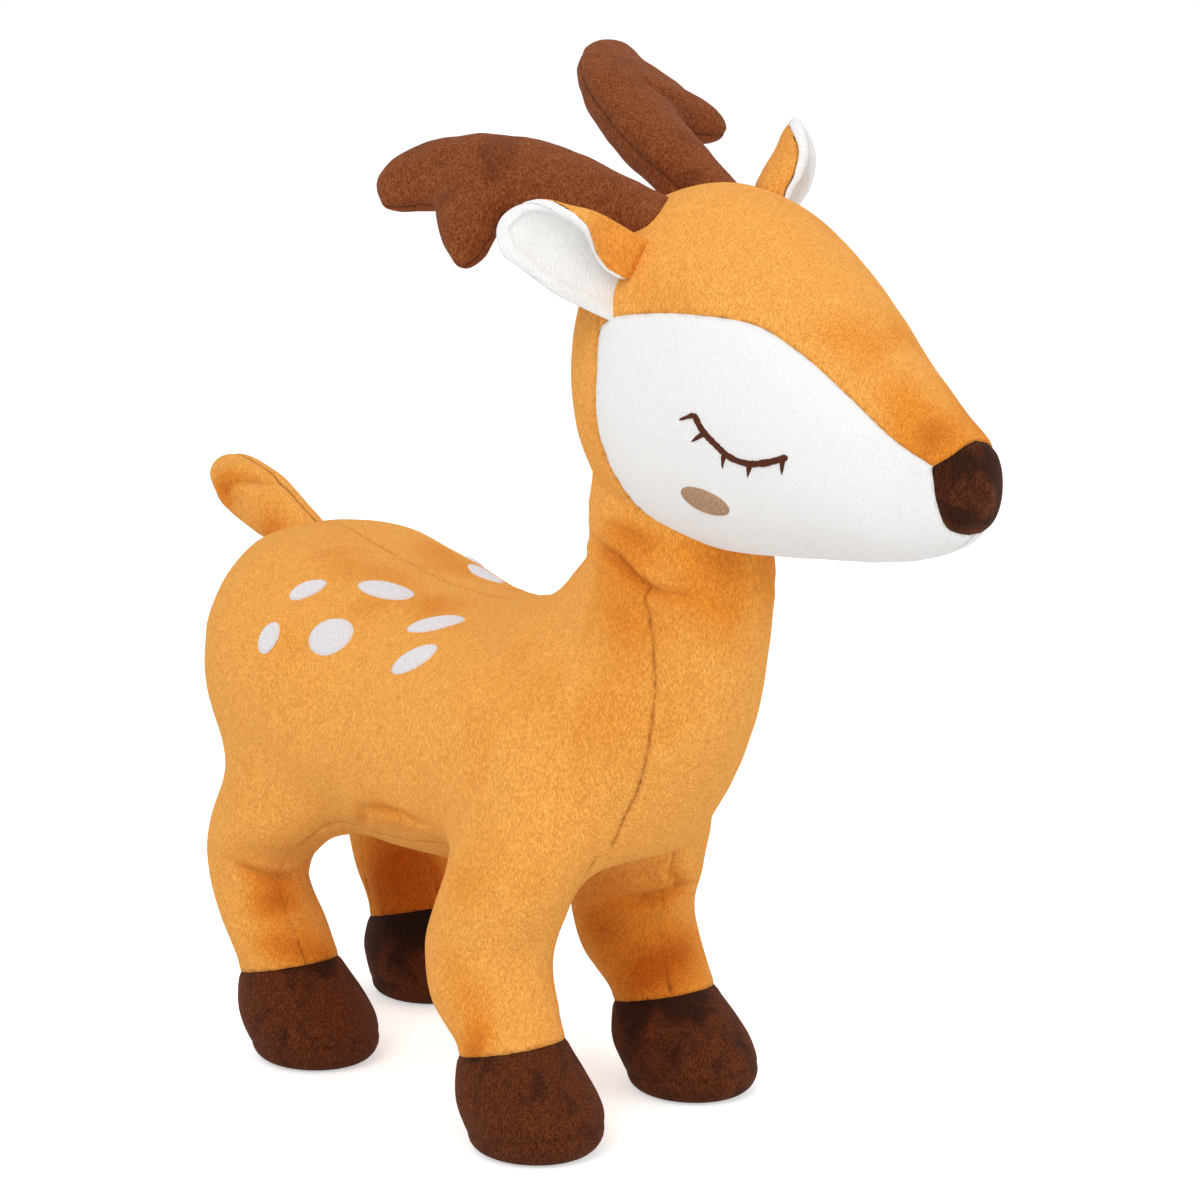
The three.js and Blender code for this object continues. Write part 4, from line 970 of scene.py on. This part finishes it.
def thread_strip(tree, line, width, side, point):
    """A raised line of satin stitch in the side view. At its end it has only a share, point, of its width."""
    line = np.asarray(line)
    along = np.gradient(line, axis=0)
    along /= np.linalg.norm(along, axis=1)[:, None]
    beside = np.stack([-along[:, 1], along[:, 0]], 1)
    length = np.r_[0, np.cumsum(np.linalg.norm(np.diff(line, axis=0), axis=1))]
    ends = np.minimum(length, length[-1] - length)
    taper = np.clip(ends / (0.5 * width), 0, 1) ** 0.5 * 0.75 + 0.25
    taper *= 1 - (1 - point) * length / length[-1]
    taper *= 1 + 0.22 * noise_at(np.column_stack([line, np.full(len(line), side)]), 1.1, 12)
    across = np.linspace(-1, 1, STRIP_STEPS + 1)
    out = across[None, :, None] * (width / 2 * taper)[:, None, None]
    flat = (line[:, None] + beside[:, None] * out).reshape(-1, 2)
    lift = THREAD_HEIGHT * np.sqrt(1 - across[None] ** 2) * np.clip(0.3 + taper[:, None], 0, 1) - THREAD_SUNK
    faces, row = [], len(across)
    for start in range(0, (len(line) - 1) * row, row):
        for p in range(start, start + STRIP_STEPS):
            faces += cell(p, p + 1, row)
    return pad(tree, flat, lift.reshape(-1), np.repeat(length, row), faces, seen_from(side))


for side_name, side in SIDES.items():
    strips = [thread_strip(head_tree, smooth_line(EYE_LINE, 0.5), EYE_THREAD_WIDTH, side, EYE_POINT)]
    for root, tip in LASHES:
        strips.append(thread_strip(head_tree, np.linspace(root, tip, 14), LASH_WIDTH, side, LASH_POINT))
    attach(dress(f"eye_{side_name}", merged(strips), EYE_THREAD), "root")
    mesh = oval_pad(head_tree, BLUSH_CENTRE, BLUSH_LENGTH, BLUSH_HEIGHT, BLUSH_TILT, seen_from(side))
    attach(dress(f"blush_{side_name}", mesh, BLUSH_THREAD), "root")


# Sewn-on pieces: local X across, Y along and Z up, as in the source.
def seat_matrix(at, along, up):
    along = np.array(along, float) / np.linalg.norm(along)
    up = np.array(up, float) - along * np.dot(up, along)
    up /= np.linalg.norm(up)
    return np.column_stack([np.cross(along, up), along, up]), np.asarray(at, float)


def head_seat(along, high, across, side):
    (y, z), = in_box(HEAD_BOX, [(along, high)])
    return side * across * HEAD_WIDTH / 2, y, z


def to_seat(mesh, seat):
    matrix, at = seat
    points, faces = mesh
    points = points.copy()
    points[:, :3] = points[:, :3] @ matrix.T + at
    return points, faces


def bend_at(piece, body, seat, start, end):
    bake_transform(piece)


def halves(points, faces):
    return dict(zip(("right", "left"), split((points, faces), points[:, 0])))


BAG_SEAM_STRENGTH = 0.7


def sew_bag(name, places, points, faces, waves, folds, blobs, cloth, seat, bend):
    """Dresses the halves of a sewn-on bag, with a seam between them, at its seat."""
    normals = normals_of(points, faces)
    edge = border(halves(points, faces)["left"])
    columns = valleys(points, normals, lumpy(points, waves), edge, BAG_SEAM_STRENGTH)
    folded(columns, points, normals, folds)
    brushed_and_shaded(columns, one_side(points), blobs)
    for place, mesh in zip(places, shaped(halves, points, columns, faces).values()):
        mesh = with_skirt(to_seat(mesh, seat), SMALL_ALLOWANCE)
        bend_at(dress(f"{name}_{place}_cloth", mesh, cloth), name, seat, *bend)


ANTLER_LENGTH, ANTLER_BREADTH, ANTLER_THICKNESS = 105, 31, 23
TINE_REACH, TINE_BREADTH, TINE_AT_SHARE = 30, 28, 0.61
ANTLER_BOX = (0, 0, ANTLER_LENGTH, ANTLER_BREADTH)
BEAM = soft_form(
    ANTLER_BOX, ANTLER_THICKNESS,
    [(-0.12, 0.3), (0.08, 0.5), (0.3, 0.75), (0.52, 0.84), (0.74, 0.75), (0.92, 0.46), (1, 0.05)],
    [(-0.12, -0.34), (0.08, -0.25), (0.3, -0.16), (0.52, -0.12), (0.74, -0.22), (0.92, -0.32), (1, 0)],
    (0.8, 0.9, 1, 1, 0.92, 0.66, 0))
TINE = soft_form(
    (TINE_AT_SHARE * ANTLER_LENGTH, 0, TINE_BREADTH, TINE_REACH), ANTLER_THICKNESS,
    [(-0.55, 0.3), (-0.55, -0.2), (-0.53, -0.5), (-0.5, -0.8), (-0.4, -1)],
    [(0.5, 0.3), (0.44, -0.2), (0.26, -0.5), (0.02, -0.8), (-0.2, -1)],
    (0.95, 0.92, 0.78, 0.6, 0.2))
# The cloth between the beam and the tine, which fills the left antler's fork.
WEB = soft_form(
    ANTLER_BOX, ANTLER_THICKNESS,
    [(0.5, 0.2), (0.5, 0), (0.52, -0.3), (0.58, -0.5)],
    [(0.93, 0.2), (0.92, -0.1), (0.84, -0.36), (0.72, -0.62)],
    (0.8, 0.78, 0.66, 0.5))
ANTLER_FORMS = {"left": ((BEAM, 60), (TINE, 30), (WEB, 30)), "right": ((BEAM, 60), (TINE, 30))}
ANTLER_VOXEL, ANTLER_SMOOTHING, ANTLER_STEPS = 0.9, 0.5, 30
ANTLER_BEND = (-8, 10)
ANTLER_SEAT, ANTLER_FILL, ANTLER_LUMPS = (0.205, 0.9, 0.5), 0.8, [(0.5, 14, 8), (0.3, 6, 9)]
ANTLER_POSE = {
    "right": ((-0.33, 0.945, 0.08), (0.62, 0.34, 0.78)),
    "left": ((0.19, 0.84, 0.51), (-0.955, 0.34, 0.285)),
}
# Folds from the notches of the tine, on the face that shows.
ANTLER_FOLDS = {
    "right": [([(-10, 50, -2), (-11, 58, 8), (-10, 66, 14)], 1.2, 2.6),
              ([(-9, 84, -4), (-11, 78, 3), (-10, 72, 10)], 1, 2.4)],
    "left": [([(10, 52, -4), (11, 60, 4), (10, 70, 9)], 1.4, 2.6),
             ([(-10, 52, -4), (-11, 60, 4), (-10, 70, 9)], 1.4, 2.6)],
}
for side_name, side in SIDES.items():
    points, faces = skin([stuffed(form, rings, 48) for form, rings in ANTLER_FORMS[side_name]], ANTLER_VOXEL)
    points = relaxed(points, faces, ANTLER_SMOOTHING, ANTLER_STEPS)
    seat = seat_matrix(head_seat(*ANTLER_SEAT, side), *ANTLER_POSE[side_name])
    sew_bag(f"antler_{side_name}", ("back", "front"), points, faces, ANTLER_LUMPS, ANTLER_FOLDS[side_name], [],
            ANTLER, seat, ANTLER_BEND)

EAR_LENGTH = 44.5
EAR_ROOT, EAR_RIM, EAR_CLOTH, EAR_LINING_SHORTER = -0.16, 3.2, 1.8, 2.2
EAR_FILL, EAR_LUMPS, EAR_BEND = 0.3, [(0.5, 9, 13)], (-8, 8)
# The root is gathered flat, and the rolled edge starts a little further out.
EAR_GATHERED, EAR_PINCH, EAR_SLANT = 30, 0.6, 9
# Painted shade on the outer cloth near the gathered root: its strength and the length over which it fades.
EAR_ROOT_SHADE, EAR_ROOT_SHADE_RUN = 0.9, 20
# The angle where the rolled part begins and that over which it grows, and the shares where the tip rounds off.
EAR_ROLL_START, EAR_ROLL = 45, 85
EAR_TIP_SHARES = (0.68, 0.32)
# The lining's inside and outside beyond the outer cloth's edge: offsets at shares of the way to its own edge.
RIM_INSIDE = (0, 0.12, 0.5, 0.8, 1), (EAR_CLOTH, 0.15, 0.3, 0.9, 2)
RIM_OUTSIDE = (0, 0.4, 0.7, 0.9, 1), (3.4, 3.3, 2.8, 1.9, 1)
RIM_MIDDLE, RIM_PLUMP, RIM_PLUMP_WIDTH = 2.1, 1.2, 2.8
# At shares of the length: the cup's radius, its lower edge's angle, the angle where the flap starts, the flap's
# last angle, its radius, and how far the ear spreads backwards.
EAR_SHARES = (0, 0.2, 0.4, 0.6, 0.8, 0.92, 1)
EAR_SECTIONS = {
    "right": [(20, -31, 55, 222, 9, 0), (21, -31, 50, 206, 8, 0), (21, -32, 51, 184, 7, 0),
              (20, -31, 50, 153, 6, 0), (18, -30, 47, 112, 5.5, 0), (17, -36, 42, 84, 5, 0),
              (16, -40, 38, 66, 5, 0)],
    "left": [(17, -90, 72, 75, 17, 4), (18, -89, 74, 77, 18, 7.5), (18, -88, 74, 77, 18, 10),
             (16.5, -84, 70, 73, 16, 7.6), (14, -80, 64, 67, 14, 5), (13, -80, 60, 63, 13, 4.2),
             (12, -78, 56, 60, 12, 3.2)],
}
EAR_SEAT = {"right": (0.25, 0.73, 0.82), "left": (0.23, 0.79, 0.745)}
EAR_POSE = {
    "right": ((-0.77, 0.44, 0.48), (0.3, -0.12, 0.95)),
    "left": ((0.32, -0.06, 0.92), (-0.69, -0.68, 0.21)),
}


def ear_ring(row, along, side, u, offset):
    """A line across the ear: u is 0 at its lower edge and 1 at its upper one, offset from its outside."""
    wide, low, turn, last, tight, back = row
    low, turn, last = np.radians([low, turn, last])
    first, second = wide * (turn - low), tight * (last - turn)
    u = u * (first + second)
    angle = np.where(u < first, low + u / wide, turn + (u - first) / tight)
    radius = np.where(u < first, wide, tight) - offset
    centre = np.where(u < first, 0, wide - tight)
    depth = wide - centre * math.cos(turn) - radius * np.cos(angle) - back
    root = 1 - np.clip(along / EAR_GATHERED, 0, 1) ** 2 * (3 - 2 * np.clip(along / EAR_GATHERED, 0, 1))
    rolled = np.clip((np.degrees(angle) - EAR_ROLL_START) / EAR_ROLL, 0, 1)
    return np.stack([side * depth * (1 - EAR_PINCH * root), along + EAR_SLANT * root * rolled,
                     centre * math.sin(turn) + radius * np.sin(angle)], -1)


def ear_row(side_name, share):
    """The section at a share of the length, its arc length, and how much of it the rounded tip leaves."""
    place = np.interp(share, EAR_SHARES, np.linspace(0, 1, len(EAR_SHARES)))
    row = spline(EAR_SECTIONS[side_name], np.array([place]))[0]
    length = row[0] * math.radians(row[2] - row[1]) + row[4] * math.radians(row[3] - row[2])
    start, run = EAR_TIP_SHARES
    return row, length, math.sqrt(max(0, 1 - min(1, max(0, (share - start) / run)) ** 2.4))


def ear_leaf(side_name, lining, rings=64, steps=92):
    """The outer cloth, or the lining that wraps over its edge in a soft rim."""
    side, leaf = SIDES[side_name], []
    whole = EAR_LENGTH + EAR_RIM * lining
    root = EAR_LENGTH * EAR_ROOT + EAR_LINING_SHORTER * lining
    for turn in np.linspace(0, 0.995 * math.pi / 2, rings):
        along = root + (whole - root) * math.sin(turn)
        row, length, left_under = ear_row(side_name, along / EAR_LENGTH)
        left = ear_row(side_name, along / whole)[2]
        own = left * (length / 2 + EAR_RIM * lining)
        across = own * np.sin(math.pi / 2 * np.linspace(-1, 1, steps))
        inner, outer = np.zeros(steps), np.full(steps, EAR_CLOTH)
        if lining:
            under = left_under * length / 2 if along < EAR_LENGTH else 0
            beyond = np.clip((np.abs(across) - under) / max(own - under, 0.1), 0, 1)
            plump = RIM_PLUMP * bell(np.maximum(under - np.abs(across), 0), RIM_PLUMP_WIDTH)
            inner, outer = np.interp(beyond, *RIM_INSIDE), np.interp(beyond, *RIM_OUTSIDE) + plump
            thin = math.sqrt(max(0.01, 1 - max(0, (along - EAR_LENGTH) / EAR_RIM) ** 2))
            inner, outer = (RIM_MIDDLE + (v - RIM_MIDDLE) * thin for v in (inner, outer))
        u = 0.5 + across / length
        first, second = (ear_ring(row, along, side, u, offset) for offset in (inner, outer))
        leaf.append(np.vstack([first, second[::-1]]))
    return loft(leaf)


for side_name, side in SIDES.items():
    seat = seat_matrix(head_seat(*EAR_SEAT[side_name], side), *EAR_POSE[side_name])
    for place, cloth in (("outer", ORANGE), ("inner", WHITE)):
        points, faces = ear_leaf(side_name, place == "inner")
        points += normals_of(points, faces) * lumpy(points, EAR_LUMPS)[:, None]
        # Painted shade near the root of the outer cloth, carried in the tone column.
        deep = EAR_ROOT_SHADE * bell(points[:, 1:2], EAR_ROOT_SHADE_RUN) * (place == "outer")
        mesh = to_seat((np.column_stack([points, np.zeros(len(points)), deep]), faces), seat)
        piece = dress(f"ear_{side_name}_{place}_cloth", mesh, cloth)
        bend_at(piece, f"ear_{side_name}", seat, *EAR_BEND)

TAIL_LENGTH, TAIL_HEIGHT, TAIL_WIDTH, TAIL_LIFT = 61, 25, 22, math.radians(20)
TAIL_FILL, TAIL_LUMPS, TAIL_BEND, TAIL_SEAT_SHARES = 0.7, [(0.5, 12, 11)], (-6, 10), (0.91, 0.9)
TAIL = soft_form(
    (0, 0, TAIL_LENGTH, TAIL_HEIGHT), TAIL_WIDTH,
    [(-0.15, 0.3), (0.15, 0.42), (0.45, 0.5), (0.75, 0.46), (0.93, 0.26), (1, 0)],
    [(-0.15, -0.3), (0.15, -0.42), (0.45, -0.5), (0.75, -0.44), (0.93, -0.26), (1, -0.02)],
    (0.6, 0.8, 1, 0.9, 0.6, 0))
TAIL_FOLDS = [([(-2, 21, 13), (-6, 29, 10), (-8, 37, 6), (-9, 41, 0), (-10, 37, -5)], 3.4, 2.2)]
# Patches of brushed pile and painted shade on the tail.
TAIL_BLOBS = [(-9, 40, 1, 8, 0.9), (-8, 46, -4, 7, 0.6), (-8, 8, -4, 9, 1)]
(y, z), = in_box(TORSO_BOX, [TAIL_SEAT_SHARES])
seat = seat_matrix((0, y, z), (0, math.cos(TAIL_LIFT), math.sin(TAIL_LIFT)),
                   (0, -math.sin(TAIL_LIFT), math.cos(TAIL_LIFT)))
points, faces = stuffed(TAIL, 70, 72)
sew_bag("tail", ("right", "left"), points, faces, TAIL_LUMPS, TAIL_FOLDS, TAIL_BLOBS, ORANGE, seat,
        TAIL_BEND)

# The floor and the light, in metres.
FLOOR_REACH, FLOOR_GREY, FLOOR_GLOW, ROOM_LIGHT = 6, 0.9, 0.5, 0.64
floor_mesh = bpy.data.meshes.new("floor")
floor_corners = [(x * FLOOR_REACH, y * FLOOR_REACH, 0) for x, y in ((-1, -1), (1, -1), (1, 1), (-1, 1))]
floor_mesh.from_pydata(floor_corners, [], [(0, 1, 2, 3)])
floor = new_object("floor", floor_mesh)
paper = bpy.data.materials.new("floor_paper")
n = Nodes(paper)
diffuse = n.add("ShaderNodeBsdfDiffuse", {"Color": (FLOOR_GREY,) * 3 + (1,)})
glow = n.add("ShaderNodeEmission", {"Color": (1, 1, 1, 1), "Strength": n.times(n.seen_directly(), FLOOR_GLOW)})
both = n.add("ShaderNodeAddShader", {0: diffuse.outputs[0], 1: glow.outputs[0]})
n.add("ShaderNodeOutputMaterial", {"Surface": both.outputs[0]})
floor_mesh.materials.append(paper)

world = bpy.data.worlds.new("studio")
bpy.context.scene.world = world
n = Nodes(world)
room, white = (n.add("ShaderNodeBackground", {"Color": (1, 1, 1, 1), "Strength": power}).outputs[0]
               for power in (ROOM_LIGHT, 1.0))
both = n.add("ShaderNodeMixShader", {0: n.seen_directly(), 1: room, 2: white})
n.add("ShaderNodeOutputWorld", {"Surface": both.outputs[0]})

# The camera's place, in the source's millimetres, and its lens.
VIEW_TURN, VIEW_LIFT, VIEW_DISTANCE = math.radians(42), math.radians(11), 1400
SENSOR_WIDTH, FOCAL_PIXELS, PICTURE_WIDTH = 36, 3921.6, 1200
VIEW_TARGET = (0, 70, 190.5)
target = Vector(placed(VIEW_TARGET))
sight = Vector((math.sin(VIEW_TURN) * math.cos(VIEW_LIFT), math.cos(VIEW_TURN) * math.cos(VIEW_LIFT),
                -math.sin(VIEW_LIFT)))

# Each lamp's name, size, power, and place from the target, in metres and watts.
LAMPS = [
    ("key", 1.2, 17, (-1.5, -0.7, 1.4)),
    ("fill", 1.4, 7, (0.5, -1.7, 0.7)),
    ("top", 1.4, 6, (0.3, 0.6, 1.8)),
]
for name, size, power, offset in LAMPS:
    data = bpy.data.lights.new(name, "AREA")
    data.shape = "SQUARE"
    data.size = size
    data.energy = power
    lamp = new_object(name, data)
    lamp.location = target + Vector(offset)
    lamp.rotation_euler = (-Vector(offset)).to_track_quat("-Z", "Y").to_euler()

camera_data = bpy.data.cameras.new("camera")
camera_data.sensor_width = SENSOR_WIDTH
camera_data.lens = SENSOR_WIDTH * FOCAL_PIXELS / PICTURE_WIDTH
camera = new_object("camera", camera_data)
camera.location = target - sight * VIEW_DISTANCE * MM
camera.rotation_euler = sight.to_track_quat("-Z", "Y").to_euler()
bpy.context.scene.camera = camera
bpy.context.scene.view_settings.view_transform = "Standard"
